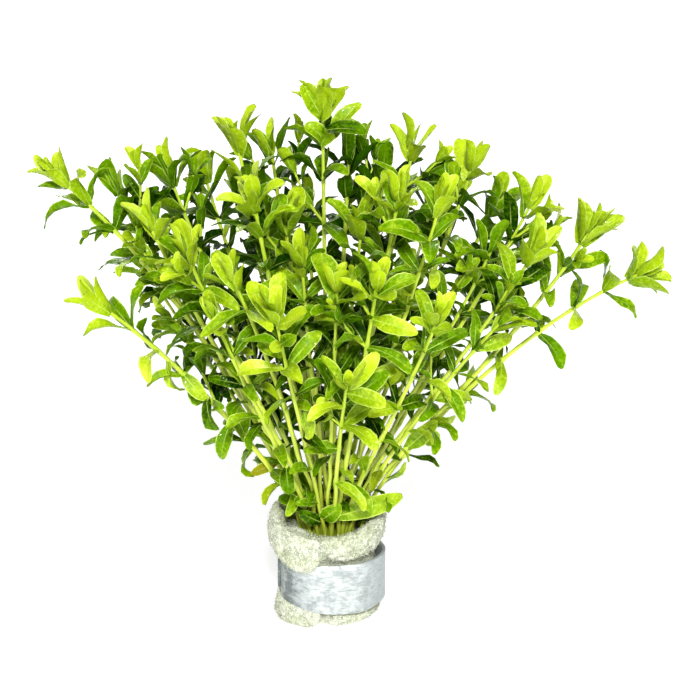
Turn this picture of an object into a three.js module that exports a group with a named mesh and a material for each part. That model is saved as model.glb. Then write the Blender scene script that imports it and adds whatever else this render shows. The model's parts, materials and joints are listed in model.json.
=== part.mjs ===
// A bunch of pearlweed, an aquarium plant, in the holder that it is sold and planted in.
// The cut ends of the leafy stems stand in a wrap of filter foam, and a soft metal strip, wound
// round the foam's waist, grips them and weighs the bunch down so that it stands.
// Millimetres, +Z up, with the front of the bunch towards -Y. The origin is on the surface that
// the foam stands on, under the middle of the crown.

import * as THREE from "three";

const DEGREE = Math.PI / 180;
const UP = new THREE.Vector3(0, 0, 1);

// Driving dimensions, in millimetres. The metal strip's width of 12.4 mm sets the scale.
const strip = { low: 5.2, width: 12.4, thickness: 0.8, start: 140, end: 546, clearance: 0.35 };

// The strip isn't quite level: it rides up on the left, and its lower edge hangs down at the
// front right. Each has an angle from the right-hand side, and a height.
const tilt = { leftSide: 190, up: 1.2, frontRight: 295, down: 1 };

// The corner pinched out of the strip at its front right: where it starts and ends, as angles
// from the right-hand side, how softly it ends towards the front and the back, and its height.
const corner = { start: 308, end: 343, frontEase: 20, backEase: 34, out: 2 };
const hollow = { halfWidth: 7.7, halfDepth: 6.5 };
const foam = {
  thickness: 3.5,
  squeezed: 2.3,
  flare: 7,
  rise: 11,
  frontDip: 0.3,
  start: 225,
  end: 625,
  lapGap: 0.35,
  endThinned: 1.5,
};
const stem = {
  radius: 0.6,
  tipRadius: 0.4,
  taper: 36,
  foot: 1.5,
  waist: 16,
  exit: 26,
  fanOut: 1.38,
  segment: 12,
};
const leaf = {
  length: 10.8,
  widthShare: 0.34,
  widest: 0.52,
  fold: 0.12,
  foot: 0.9,
  firstHeight: 34,
  pastStem: 0.62,
};
const holderFromCrown = { x: -5.7, y: -4.75 };

// How near things may come, from centre to centre: cut ends to the hollow's wall and to each
// other, stems above the foam, a leaf to another stem or its leaves, and a leaf to the foam.
const room = { wall: 1.1, feet: 1.42, stems: 1.5, leaves: 1.5, foam: 0.9 };

// How the cut ends find their places: the level that a stem's lean is measured from, the lean
// that puts its end at the hollow's wall, how evenly the rest fill the hollow, and the sweeps
// that push them apart.
const packing = { level: 8, fullLean: 1.1, evenness: 0.8, sweeps: 400 };

// The shares of a stem's free length along which it keeps the way it starts and the way it ends,
// and how far apart the points along it are.
const bow = { start: 0.12, end: 0.36, step: 0.8 };

// How much one leaf differs from another, each as the whole width of the range.
const spread = { turn: 50, opening: 24, length: 0.3, width: 0.35, bend: 0.7, spacing: 0.24 };

// The photograph's frame in pixels, the scale at the holder, and the camera's place.
const photo = {
  middle: [350, 347],
  mmPerPixel: 0.24,
  distance: 480,
  elevation: 20 * DEGREE,
  aim: new THREE.Vector3(5.3, 0, 69.9),
};

// Each stem's growing tip: its pixel in the photograph, and how far behind the holder's axis it
// stands in millimetres. lift turns the end of the stem up, or down where it is negative.
const SHOOTS = [
  { name: "stem_peak", tip: [322, 73], depth: 2 },
  { name: "stem_far_left", tip: [33, 158], depth: -6, lift: -0.35 },
  { name: "stem_arm_low", tip: [670, 262], depth: -14, lift: -0.35 },
  { name: "stem_low_left", tip: [74, 288], depth: -16, lift: -0.25 },
  { name: "stem_arm_high", tip: [604, 206], depth: -10, lift: 0.3 },
  { name: "stem_left_high", tip: [104, 164], depth: 4, lift: 0.2 },
  { name: "stem_left_peak", tip: [158, 145], depth: 8 },
  { name: "stem_left_centre", tip: [231, 110], depth: 0 },
  { name: "stem_left_bright", tip: [248, 170], depth: -24 },
  { name: "stem_peak_right", tip: [419, 116], depth: 8 },
  { name: "stem_right_peak", tip: [482, 138], depth: 2 },
  { name: "stem_right_bright", tip: [448, 176], depth: -26 },
  { name: "stem_centre_bright", tip: [404, 168], depth: -20 },
  { name: "stem_right_shoulder", tip: [544, 178], depth: -2 },
  { name: "stem_right_inner", tip: [549, 228], depth: -22 },
  { name: "stem_left_crown", tip: [176, 228], depth: -24 },
  { name: "stem_left_bud", tip: [207, 298], depth: -30 },
  { name: "stem_front_left", tip: [270, 288], depth: -38 },
  { name: "stem_front_curved", tip: [222, 256], depth: -34, lift: -0.2 },
  { name: "stem_front_short", tip: [350, 372], depth: -40, lift: -0.3 },
  { name: "stem_front_middle", tip: [380, 262], depth: -38 },
  { name: "stem_front_bud", tip: [338, 262], depth: -34 },
  { name: "stem_front_right", tip: [446, 298], depth: -36 },
  { name: "stem_right_low", tip: [522, 302], depth: -22, lift: -0.2 },
  { name: "stem_left_second", tip: [138, 200], depth: -16 },
  { name: "stem_centre_front", tip: [300, 236], depth: -26 },
  { name: "stem_inner_left", tip: [280, 192], depth: -14 },
  { name: "stem_inner_right", tip: [365, 196], depth: -16 },
  { name: "stem_dark_left", tip: [198, 152], depth: 24 },
  { name: "stem_dark_left_low", tip: [130, 240], depth: 16 },
  { name: "stem_behind_left", tip: [268, 122], depth: 18 },
  { name: "stem_behind_middle", tip: [350, 132], depth: 26 },
  { name: "stem_behind_right", tip: [388, 146], depth: 26 },
  { name: "stem_dark_right", tip: [506, 176], depth: 20 },
  { name: "stem_right_gap", tip: [505, 222], depth: -4 },
  { name: "stem_back_one", tip: [236, 168], depth: 40 },
  { name: "stem_back_two", tip: [306, 176], depth: 46 },
  { name: "stem_back_three", tip: [372, 182], depth: 48 },
  { name: "stem_back_four", tip: [440, 172], depth: 40 },
  { name: "stem_back_five", tip: [178, 212], depth: 34 },
  { name: "stem_back_six", tip: [500, 246], depth: 34 },
  { name: "stem_back_seven", tip: [270, 248], depth: 50.5 },
  { name: "stem_back_eight", tip: [410, 252], depth: 50.5 },
];

// Leaves come in pairs, and these give the pairs from the tip down; the last stands for the rest.
const PAIRS = [
  { spacing: 1.4, length: 0.82, opening: 21, bend: -0.1 },
  { spacing: 2.6, length: 1, opening: 38, bend: 0.2 },
  { spacing: 6.4, length: 1.06, opening: 44, bend: 0.55 },
  { spacing: 8.4, length: 1.06, opening: 50, bend: 0.75 },
  { spacing: 10.2, length: 1, opening: 54, bend: 0.8 },
  { spacing: 12, length: 0.92, opening: 56, bend: 0.8 },
];
const LEAF_WAYS = 12;
const STEM_WAYS = 48;
const GOLDEN_ANGLE = 137.5 * DEGREE;

// The same sequence of numbers from 0 to 1 for the same seed.
function seeded(seed) {
  let state = (seed * 2654435761 + 12345) >>> 0;
  return () => {
    state = (Math.imul(state, 1664525) + 1013904223) >>> 0;
    return state / 4294967296;
  };
}

function smoothstep(low, high, value) {
  const share = Math.min(1, Math.max(0, (value - low) / (high - low)));
  return share * share * (3 - 2 * share);
}

// The point on the photograph's line of sight through a pixel, at a depth behind the holder.
function fromPhoto([column, row], depth) {
  const forward = new THREE.Vector3(0, Math.cos(photo.elevation), -Math.sin(photo.elevation));
  const cameraUp = new THREE.Vector3(0, Math.sin(photo.elevation), Math.cos(photo.elevation));
  const eye = photo.aim.clone().addScaledVector(forward, -photo.distance);
  const sight = forward.multiplyScalar(photo.distance / photo.mmPerPixel);
  sight.x += column - photo.middle[0];
  sight.addScaledVector(cameraUp, photo.middle[1] - row);
  return eye.addScaledVector(sight, (depth - eye.y) / sight.y);
}

// Where the cut ends stand: each towards the side that its stem leans to, then spread apart.
function feet(tips) {
  const halfWidth = hollow.halfWidth - room.wall;
  const halfDepth = hollow.halfDepth - room.wall;
  const points = tips.map((tip) => {
    const rise = tip.z - packing.level;
    const lean = [tip.x / rise, tip.y / rise];
    const size = Math.hypot(...lean);
    const reach = Math.min(1, size / packing.fullLean) ** packing.evenness / Math.max(size, 1e-6);
    return [lean[0] * reach * halfWidth, lean[1] * reach * halfDepth];
  });
  for (let sweep = 0; sweep < packing.sweeps; sweep += 1) {
    for (let i = 0; i < points.length; i += 1)
      for (let j = i + 1; j < points.length; j += 1) {
        const apart = [points[j][0] - points[i][0], points[j][1] - points[i][1]];
        const distance = Math.max(Math.hypot(...apart), 1e-6);
        const push = Math.max(0, (room.feet - distance) / 2) / distance;
        for (const axis of [0, 1]) {
          points[i][axis] -= apart[axis] * push;
          points[j][axis] += apart[axis] * push;
        }
      }
    for (const point of points) {
      const out = Math.hypot(point[0] / halfWidth, point[1] / halfDepth);
      if (out > 1) for (const axis of [0, 1]) point[axis] /= out;
    }
  }
  return points;
}

// A stem's centre line as points, from its foot to its growing tip.
function centreLine([x, y], tip, lift, sway) {
  const foot = new THREE.Vector3(x, y, stem.foot);
  const waist = new THREE.Vector3(x, y, stem.waist);
  const exit = new THREE.Vector3(x * stem.fanOut, y * stem.fanOut, stem.exit);
  const heading = tip.clone().sub(exit).normalize();
  const ending = heading.clone().addScaledVector(UP, lift).normalize();
  const end = tip.clone().addScaledVector(ending, -leaf.pastStem * leaf.length);
  const span = end.distanceTo(exit);
  const rise = exit.clone().sub(waist).normalize();
  const early = exit.clone().addScaledVector(rise, bow.start * span);
  early.addScaledVector(sway, bow.end);
  const late = end.clone().addScaledVector(ending, -bow.end * span).add(sway);
  const curve = new THREE.CubicBezierCurve3(exit, early, late, end);
  const bends = curve.getPoints(Math.ceil(span / bow.step));
  return [foot, waist, ...bends];
}

// Points every 1.3 mm or so along a line, for telling whether things would touch.
function beads(line) {
  const found = [];
  for (let i = 1; i < line.length; i += 1) {
    const pieces = Math.ceil(line[i].distanceTo(line[i - 1]) / 1.3);
    for (let k = 0; k < pieces; k += 1) found.push(line[i - 1].clone().lerp(line[i], k / pieces));
  }
  found.push(line[line.length - 1]);
  return found;
}

function smallestGap(points, others) {
  let least = Infinity;
  for (const point of points)
    for (const other of others) least = Math.min(least, point.distanceToSquared(other));
  return Math.sqrt(least);
}

// A point, a direction and a side at a distance back from the tip. The side keeps its turn about
// the stem, so that pairs of leaves can stand crosswise.
function frameAt(shoot, back) {
  let left = back;
  let i = shoot.line.length - 1;
  while (i > 1 && left > shoot.line[i].distanceTo(shoot.line[i - 1])) {
    left -= shoot.line[i].distanceTo(shoot.line[i - 1]);
    i -= 1;
  }
  const along = shoot.line[i].clone().sub(shoot.line[i - 1]).normalize();
  const point = shoot.line[i].clone().addScaledVector(along, -left);
  const turned = new THREE.Vector3(Math.cos(shoot.turn), Math.sin(shoot.turn), 0);
  const side = turned.addScaledVector(along, -turned.dot(along)).normalize();
  return { point, along, side, across: along.clone().cross(side) };
}

// The midrib's point at a share of a leaf's length, bending steadily away from the stem's tip.
function midrib(blade, share) {
  const bend = Math.abs(blade.bend) < 1e-3 ? 1e-3 : blade.bend;
  const out = (blade.length * Math.sin(bend * share)) / bend;
  const down = (blade.length * (1 - Math.cos(bend * share))) / bend;
  return blade.foot.clone().addScaledVector(blade.heading, out).addScaledVector(blade.face, -down);
}

function bladePoints(blade) {
  const found = [0.15, 0.3, 0.45, 0.6, 0.8, 1].map((share) => midrib(blade, share));
  for (const [share, out] of [[0.3, 0.6], [0.5, 1], [0.75, 0.6]])
    for (const sign of [-1, 1])
      found.push(midrib(blade, share).addScaledVector(blade.side, (sign * out * blade.width) / 2));
  return found;
}

// A leaf on a node of the stem, on one of the stem's four faces.
function growBlade(frame, pair, quarter, random) {
  const vary = (range) => (random() - 0.5) * range;
  const turn = (quarter * 90 + vary(spread.turn)) * DEGREE;
  const out = frame.side.clone().multiplyScalar(Math.cos(turn));
  out.addScaledVector(frame.across, Math.sin(turn));
  const opening = (pair.opening + vary(spread.opening)) * DEGREE;
  const heading = frame.along.clone().multiplyScalar(Math.cos(opening));
  heading.addScaledVector(out, Math.sin(opening));
  const side = heading.clone().cross(frame.along).normalize().negate();
  const length = leaf.length * pair.length * (1 + vary(spread.length));
  return {
    quarter,
    heading,
    side,
    face: heading.clone().cross(side),
    length,
    width: length * leaf.widthShare * (1 + vary(spread.width)),
    bend: pair.bend + vary(spread.bend),
    foot: frame.point.clone().addScaledVector(out, stem.radius * 0.5),
  };
}

// Keeps leaves off the foam and the strip.
function isOffHolder(points) {
  const reach = foam.flare + foam.squeezed;
  const top = strip.low + strip.width + foam.rise + room.foam;
  return points.every((point) => {
    const out = Math.hypot(point.x / (hollow.halfWidth + reach), point.y / (hollow.halfDepth + reach));
    return point.z > top || out > 1;
  });
}

// Grows every stem and its leaves, each clear of those before it.
function growBunch() {
  const tips = SHOOTS.map((shoot) => fromPhoto(shoot.tip, shoot.depth));
  const places = feet(tips);
  const shoots = [];
  SHOOTS.forEach(({ name, lift = 0.12 }, index) => {
    const random = seeded(index + 1);
    const shoot = { name, turn: random() * 90 * DEGREE, blades: [], nodes: [], random };
    const taken = shoots.flatMap((other) => other.beads);
    let widest = -1;
    for (let way = 0; way < STEM_WAYS && widest < room.stems; way += 1) {
      const sway = new THREE.Vector3(way * 0.4, 0, 0).applyAxisAngle(UP, way * GOLDEN_ANGLE);
      const line = centreLine(places[index], tips[index], lift, sway);
      const found = beads(line);
      const gap = smallestGap(found.filter((point) => point.z > stem.exit), taken);
      if (gap > widest) {
        widest = gap;
        shoot.line = line;
        shoot.beads = found;
      }
    }
    shoot.length = shoot.line.reduce(
      (sum, point, i, line) => (i ? sum + point.distanceTo(line[i - 1]) : 0),
      0,
    );
    shoots.push(shoot);
  });
  const taken = shoots.map((shoot) => ({ shoot, points: shoot.beads }));
  for (const shoot of shoots) {
    const others = taken.filter((entry) => entry.shoot !== shoot).flatMap((entry) => entry.points);
    const own = [];
    let back = 0;
    for (let level = 0; ; level += 1) {
      const pair = PAIRS[Math.min(level, PAIRS.length - 1)];
      back += pair.spacing * (1 + (shoot.random() - 0.5) * spread.spacing);
      const frame = frameAt(shoot, back);
      if (frame.point.z < leaf.firstHeight) break;
      shoot.nodes.push(back);
      for (const quarter of [level % 2, (level % 2) + 2])
        for (let way = 0; way < LEAF_WAYS; way += 1) {
          const blade = growBlade(frame, pair, quarter, shoot.random);
          const points = bladePoints(blade);
          if (!isOffHolder(points) || smallestGap(points, others) < room.leaves) continue;
          shoot.blades.push({ ...blade, level });
          own.push(...points);
          break;
        }
    }
    taken.push({ shoot, points: own });
  }
  return shoots;
}

// Joins points into one closed surface, in three.js's own form.
function solid(points, faces) {
  const geometry = new THREE.BufferGeometry();
  geometry.setAttribute(
    "position",
    new THREE.Float32BufferAttribute(points.flatMap((point) => [point.x, point.y, point.z]), 3),
  );
  geometry.setIndex(faces.flat());
  geometry.computeVertexNormals();
  return geometry;
}

// A four-sided stalk with a folded, pointed leaf drawn out of its side for each leaf.
function shootGeometry(shoot) {
  const points = [];
  const faces = [];
  const add = (point) => points.push(point) - 1;
  const ring = (back) => {
    const { point, along, side, across } = frameAt(shoot, back);
    const grown = Math.min(1, back / stem.taper);
    const radius = THREE.MathUtils.lerp(stem.tipRadius, stem.radius, grown);
    return [-45, 45, 135, 225].map((angle) => {
      const corner = point.clone().addScaledVector(side, radius * Math.cos(angle * DEGREE));
      return add(corner.addScaledVector(across, radius * Math.sin(angle * DEGREE)));
    });
  };
  const bladeOn = (a, b, over, blade) => {
    const middle = midrib(blade, leaf.widest).addScaledVector(blade.face, leaf.fold * blade.width);
    const right = add(middle.clone().addScaledVector(blade.side, blade.width / 2));
    const left = add(middle.clone().addScaledVector(blade.side, -blade.width / 2));
    const end = add(midrib(blade, 1));
    faces.push([over, left, end], [over, end, right], [over, a, left], [b, over, right]);
    faces.push([a, end, left], [a, b, end], [b, right, end]);
  };
  const wall = (low, high, quarter, blade) => {
    const [a, b] = [low[quarter], low[(quarter + 1) % 4]];
    const [c, d] = [high[(quarter + 1) % 4], high[quarter]];
    const loop = c === d ? [b, c, a] : [b, c, d, a];
    if (!blade) {
      for (let i = 1; i + 1 < loop.length; i += 1) faces.push([loop[0], loop[i], loop[i + 1]]);
      return;
    }
    const foot = points[a].clone().lerp(points[b], 0.5);
    const top = points[c].clone().lerp(points[d], 0.5);
    const over = add(foot.clone().lerp(top, leaf.foot / top.distanceTo(foot)));
    for (let i = 0; i + 1 < loop.length; i += 1) faces.push([loop[i], loop[i + 1], over]);
    bladeOn(a, b, over, blade);
  };
  const lowest = shoot.nodes[shoot.nodes.length - 1];
  const footings = [shoot.length];
  let back = shoot.length - (stem.waist - stem.foot);
  for (; back > lowest + stem.segment / 2; back -= stem.segment) footings.push(back);
  let below = ring(footings[0]);
  faces.push([below[0], below[3], below[2]], [below[0], below[2], below[1]]);
  for (const back of footings.slice(1)) {
    const above = ring(back);
    for (const quarter of [0, 1, 2, 3]) wall(below, above, quarter);
    below = above;
  }
  const rings = [...shoot.nodes].reverse().map(ring);
  for (const quarter of [0, 1, 2, 3]) wall(below, rings[0], quarter);
  const apex = add(frameAt(shoot, 0).point);
  rings.forEach((low, i) => {
    const level = rings.length - 1 - i;
    const high = rings[i + 1] ?? [apex, apex, apex, apex];
    for (const quarter of [0, 1, 2, 3]) {
      const blade = shoot.blades.find((one) => one.level === level && one.quarter === quarter);
      wall(low, high, quarter, blade);
    }
  });
  return solid(points, faces);
}

// A point round the holder: an angle from the right-hand side, and a distance out from the hollow.
function around(angle, out, height) {
  return new THREE.Vector3(
    (hollow.halfWidth + out) * Math.cos(angle * DEGREE),
    (hollow.halfDepth + out) * Math.sin(angle * DEGREE),
    height,
  );
}

// Sweeps a closed section, given as a function of the angle, from one angle to another.
function sweepRound(angles, section) {
  const sections = angles.map(section);
  const count = sections[0].length;
  const faces = [];
  for (let i = 0; i + 1 < sections.length; i += 1)
    for (let k = 0; k < count; k += 1) {
      const next = (k + 1) % count;
      const [a, b] = [i * count + k, i * count + next];
      const [c, d] = [a + count, b + count];
      faces.push([a, b, d], [a, d, c]);
    }
  const flat = sections[0].map((point) => new THREE.Vector2(Math.hypot(point.x, point.y), point.z));
  const cap = THREE.ShapeUtils.triangulateShape(flat, []);
  const turned = THREE.ShapeUtils.area(flat) > 0;
  const last = (sections.length - 1) * count;
  for (const [a, b, c] of cap) {
    faces.push(turned ? [a, c, b] : [a, b, c]);
    faces.push(turned ? [last + a, last + b, last + c] : [last + a, last + c, last + b]);
  }
  return { sections, faces };
}

// The foam's thickness under the strip, which squeezes it most where it laps over itself.
function waistThickness(angle) {
  const lapped = Math.max(1 - smoothstep(258, 290, angle), smoothstep(500, 560, angle));
  return THREE.MathUtils.lerp(foam.thickness, foam.squeezed, lapped);
}

// How far the foam's second layer stands out over its first, where the wrap laps over itself.
function lapAt(angle) {
  return (foam.squeezed + foam.lapGap) * smoothstep(536, 582, angle);
}

// The levels of the strip's lower and upper edge at an angle.
function edgesAt(angle) {
  const left = Math.max(0, Math.cos((angle - tilt.leftSide) * DEGREE)) ** 2;
  const front = Math.max(0, Math.cos((angle - tilt.frontRight) * DEGREE)) ** 2;
  const level = strip.low + tilt.up * left;
  return { low: level - tilt.down * front, high: level + strip.width };
}

// The foam's section at an angle round the wrap, from the hollow's foot up, over and down.
function foamSection(angle) {
  const buried = 1 - smoothstep(foam.end - 360, foam.end - 348, angle);
  const flap = smoothstep(572, 600, angle);
  const front = (0.5 - 0.5 * Math.sin(angle * DEGREE)) ** 3;
  const waist = waistThickness(angle);
  // Each point is a distance out from the hollow's wall, and a height.
  const { low, high } = edgesAt(angle);
  // The flare is drawn in beside the strip's corner, which leaves a gap there.
  const drawnIn = Math.exp(-(((angle - corner.end - 8) / 26) ** 2));
  // Above the strip, the second layer thins out towards its end and hardly stands out there.
  const thinned = foam.endThinned * smoothstep(foam.end - 30, foam.end, angle);
  const outer = (full, inner) => THREE.MathUtils.lerp(full, waist + inner, buried);
  const profile = [
    [0.6, 0],
    [0, 5],
    [0, high - 0.6],
    [1.6, high + 5.4],
    [3.2, high + 9.4],
    [4.8, high + foam.rise - 0.6 * buried],
    [outer(6.4 - thinned, 2.1), high + 9],
    [outer(foam.flare - thinned, 1.1) - 0.5 * drawnIn, high + 5.4],
    [outer(6.4 - thinned, 0.5) + 0.3 * flap - 1.3 * drawnIn, high + 2.6 - flap],
    [outer(5.2 - thinned, 0.3) + 1.3 * flap - 0.7 * drawnIn, high + 1.2 - 3.2 * flap],
    [outer(4.4 - thinned, 0.2) + 1.4 * flap, high + 0.9 - 2.6 * flap],
    [waist + 0.2 + 1.4 * flap, high + 0.8],
    [waist, high + 0.5],
    [waist, low - 0.3],
    [outer(4.9, 0.2) - 0.9 * flap, low - 0.8],
    [outer(5.4, 0.4) - 0.9 * flap, 2.4],
    [outer(4.4, 0.5) - 0.9 * flap, 0],
  ];
  const slant = 15 * smoothstep(foam.end - 24, foam.end, angle);
  return profile.map(([out, height]) => {
    const held = smoothstep(0, 3, height) * (1 - smoothstep(14, 15, height));
    const cutBack = slant * (1 - held) * (1 - smoothstep(15.5, 20, height));
    const dip = height > high ? (height - high) * foam.frontDip * front : 0;
    return around(angle - cutBack, out + lapAt(angle), height - dip);
  });
}

function foamWrap() {
  const steps = 32;
  const angles = Array.from({ length: steps + 1 }, (_, i) =>
    THREE.MathUtils.lerp(foam.start, foam.end, i / steps),
  );
  const { sections, faces } = sweepRound(angles, foamSection);
  return solid(sections.flat(), faces);
}

// How far out the metal strip's inner face stands: over the foam's waist, bridging the step at
// the foam's outer end, with a corner pinched out on the right.
function stripOut(angle) {
  const fromEnd = (((angle - foam.end) % 360) + 360) % 360;
  const round = foam.end - 360 + fromEnd;
  const step = (2 * foam.squeezed + foam.lapGap - foam.thickness) * (1 - smoothstep(0, 42, fromEnd));
  const under = fromEnd < 42 ? foam.thickness + step : waistThickness(round) + lapAt(round);
  const before = Math.max(0, corner.start - round) / corner.frontEase;
  const after = Math.max(0, round - corner.end) / corner.backEase;
  return under + strip.clearance + corner.out * Math.exp(-(before ** 2) - after ** 2);
}

function metalStrip() {
  const steps = 40;
  const angles = Array.from({ length: steps + 1 }, (_, i) =>
    THREE.MathUtils.lerp(strip.start, strip.end, i / steps),
  );
  const { sections, faces } = sweepRound(angles, (angle) => {
    const over = (strip.thickness + 0.35) * smoothstep(strip.start + 318, strip.start + 352, angle);
    const inner = stripOut(angle) + over;
    const outer = inner + strip.thickness;
    const { low, high } = edgesAt(angle);
    return [
      around(angle, inner, high),
      around(angle, outer, high),
      around(angle, outer, low),
      around(angle, inner, low),
    ];
  });
  return solid(sections.flat(), faces);
}

const finishes = {
  foam: new THREE.MeshStandardMaterial({ color: 0xd9dcb8, roughness: 0.95, metalness: 0 }),
  strip: new THREE.MeshStandardMaterial({ color: 0xa9b0b4, roughness: 0.45, metalness: 0.85 }),
  plant: new THREE.MeshStandardMaterial({ color: 0x7fc20a, roughness: 0.35, metalness: 0 }),
};

function part(name, geometry, finish) {
  const mesh = new THREE.Mesh(geometry, finish);
  mesh.name = name;
  return mesh;
}

const plant = new THREE.Group();
plant.position.set(holderFromCrown.x, holderFromCrown.y, 0);
plant.add(part("foam_wrap", foamWrap(), finishes.foam));
plant.add(part("metal_strip", metalStrip(), finishes.strip));
for (const shoot of growBunch()) plant.add(part(shoot.name, shootGeometry(shoot), finishes.plant));

export default plant;
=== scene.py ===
"""Looks of a weighted bunch of pearlweed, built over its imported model.

Each stem is read back from its faceted solid, as a centre line and the places of its leaves, and
grown again as a round stalk with curved leaves. The foam wrap becomes open-pored, and the metal
strip gets its rolled edges and dents. Everything is in metres, in the frame of the model.
"""

from __future__ import annotations

import json
import logging
import math
import random
from dataclasses import dataclass, field, replace
from enum import Enum
from typing import Any

import bmesh
import bpy
import numpy as np
from mathutils import Matrix, Vector, kdtree, noise

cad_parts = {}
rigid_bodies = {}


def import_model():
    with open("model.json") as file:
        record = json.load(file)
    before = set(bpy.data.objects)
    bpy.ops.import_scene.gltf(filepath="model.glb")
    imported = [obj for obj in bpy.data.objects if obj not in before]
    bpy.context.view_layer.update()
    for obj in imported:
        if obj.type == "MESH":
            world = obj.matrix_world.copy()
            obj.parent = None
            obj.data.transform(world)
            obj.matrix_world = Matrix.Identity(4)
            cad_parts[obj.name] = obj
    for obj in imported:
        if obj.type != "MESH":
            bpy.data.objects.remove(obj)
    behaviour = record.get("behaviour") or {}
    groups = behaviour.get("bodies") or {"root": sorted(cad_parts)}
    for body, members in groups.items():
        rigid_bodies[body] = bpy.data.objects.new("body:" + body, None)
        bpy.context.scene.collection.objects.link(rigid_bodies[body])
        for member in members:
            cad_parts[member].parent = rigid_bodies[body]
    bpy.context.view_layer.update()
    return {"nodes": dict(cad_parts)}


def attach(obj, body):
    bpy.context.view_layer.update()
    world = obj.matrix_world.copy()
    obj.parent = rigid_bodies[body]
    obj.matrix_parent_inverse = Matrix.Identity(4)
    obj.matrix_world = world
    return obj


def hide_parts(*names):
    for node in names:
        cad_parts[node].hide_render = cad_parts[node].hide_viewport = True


LOG = logging.getLogger("pearlweed")
MM = 0.001
DEGREE = math.pi / 180
BODY = "root"
UV_NAME = "UVMap"
MERGED = 0.001 * MM
# Where each kind's random draws start, so that every run gives the same bunch.
SEEDS = {"tone": 0, "unit leaf": 7, "stalk": 300, "leaves": 500, "twigs": 900, "turns": 1000}


def linear(sheet_colour: str) -> tuple[float, float, float, float]:
    """Turns an sRGB hex colour to linear.

    Args:
        sheet_colour: The colour as six hex digits.

    Returns:
        Red, green, blue and an alpha of 1.
    """
    shares = [int(sheet_colour[i : i + 2], 16) / 255 for i in (0, 2, 4)]
    return (*[s / 12.92 if s <= 0.04045 else ((s + 0.055) / 1.055) ** 2.4 for s in shares], 1.0)


def per_metre(millimetres: float) -> float:
    """Gives a texture's scale for a pattern that repeats every so many millimetres."""
    return 1 / (millimetres * MM)


def draws(kind: str, number: int) -> random.Random:
    """Starts the random draws of one kind for one stem or leaf."""
    return random.Random(SEEDS[kind] + number)


def smoothstep(low: float, high: float, value: float) -> float:
    """Gives 0 below low and 1 above high, with a smooth rise between."""
    share = min(1.0, max(0.0, (value - low) / (high - low)))
    return share * share * (3 - 2 * share)


def feed(node: bpy.types.Node, inputs: dict[Any, Any]) -> None:
    """Sets and links a node's inputs.

    Args:
        node: The node.
        inputs: For an input's name or number, a value or the output that feeds it.
    """
    for key, value in inputs.items():
        if isinstance(value, bpy.types.NodeSocket):
            node.id_data.links.new(value, node.inputs[key])
        else:
            node.inputs[key].default_value = value


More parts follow.
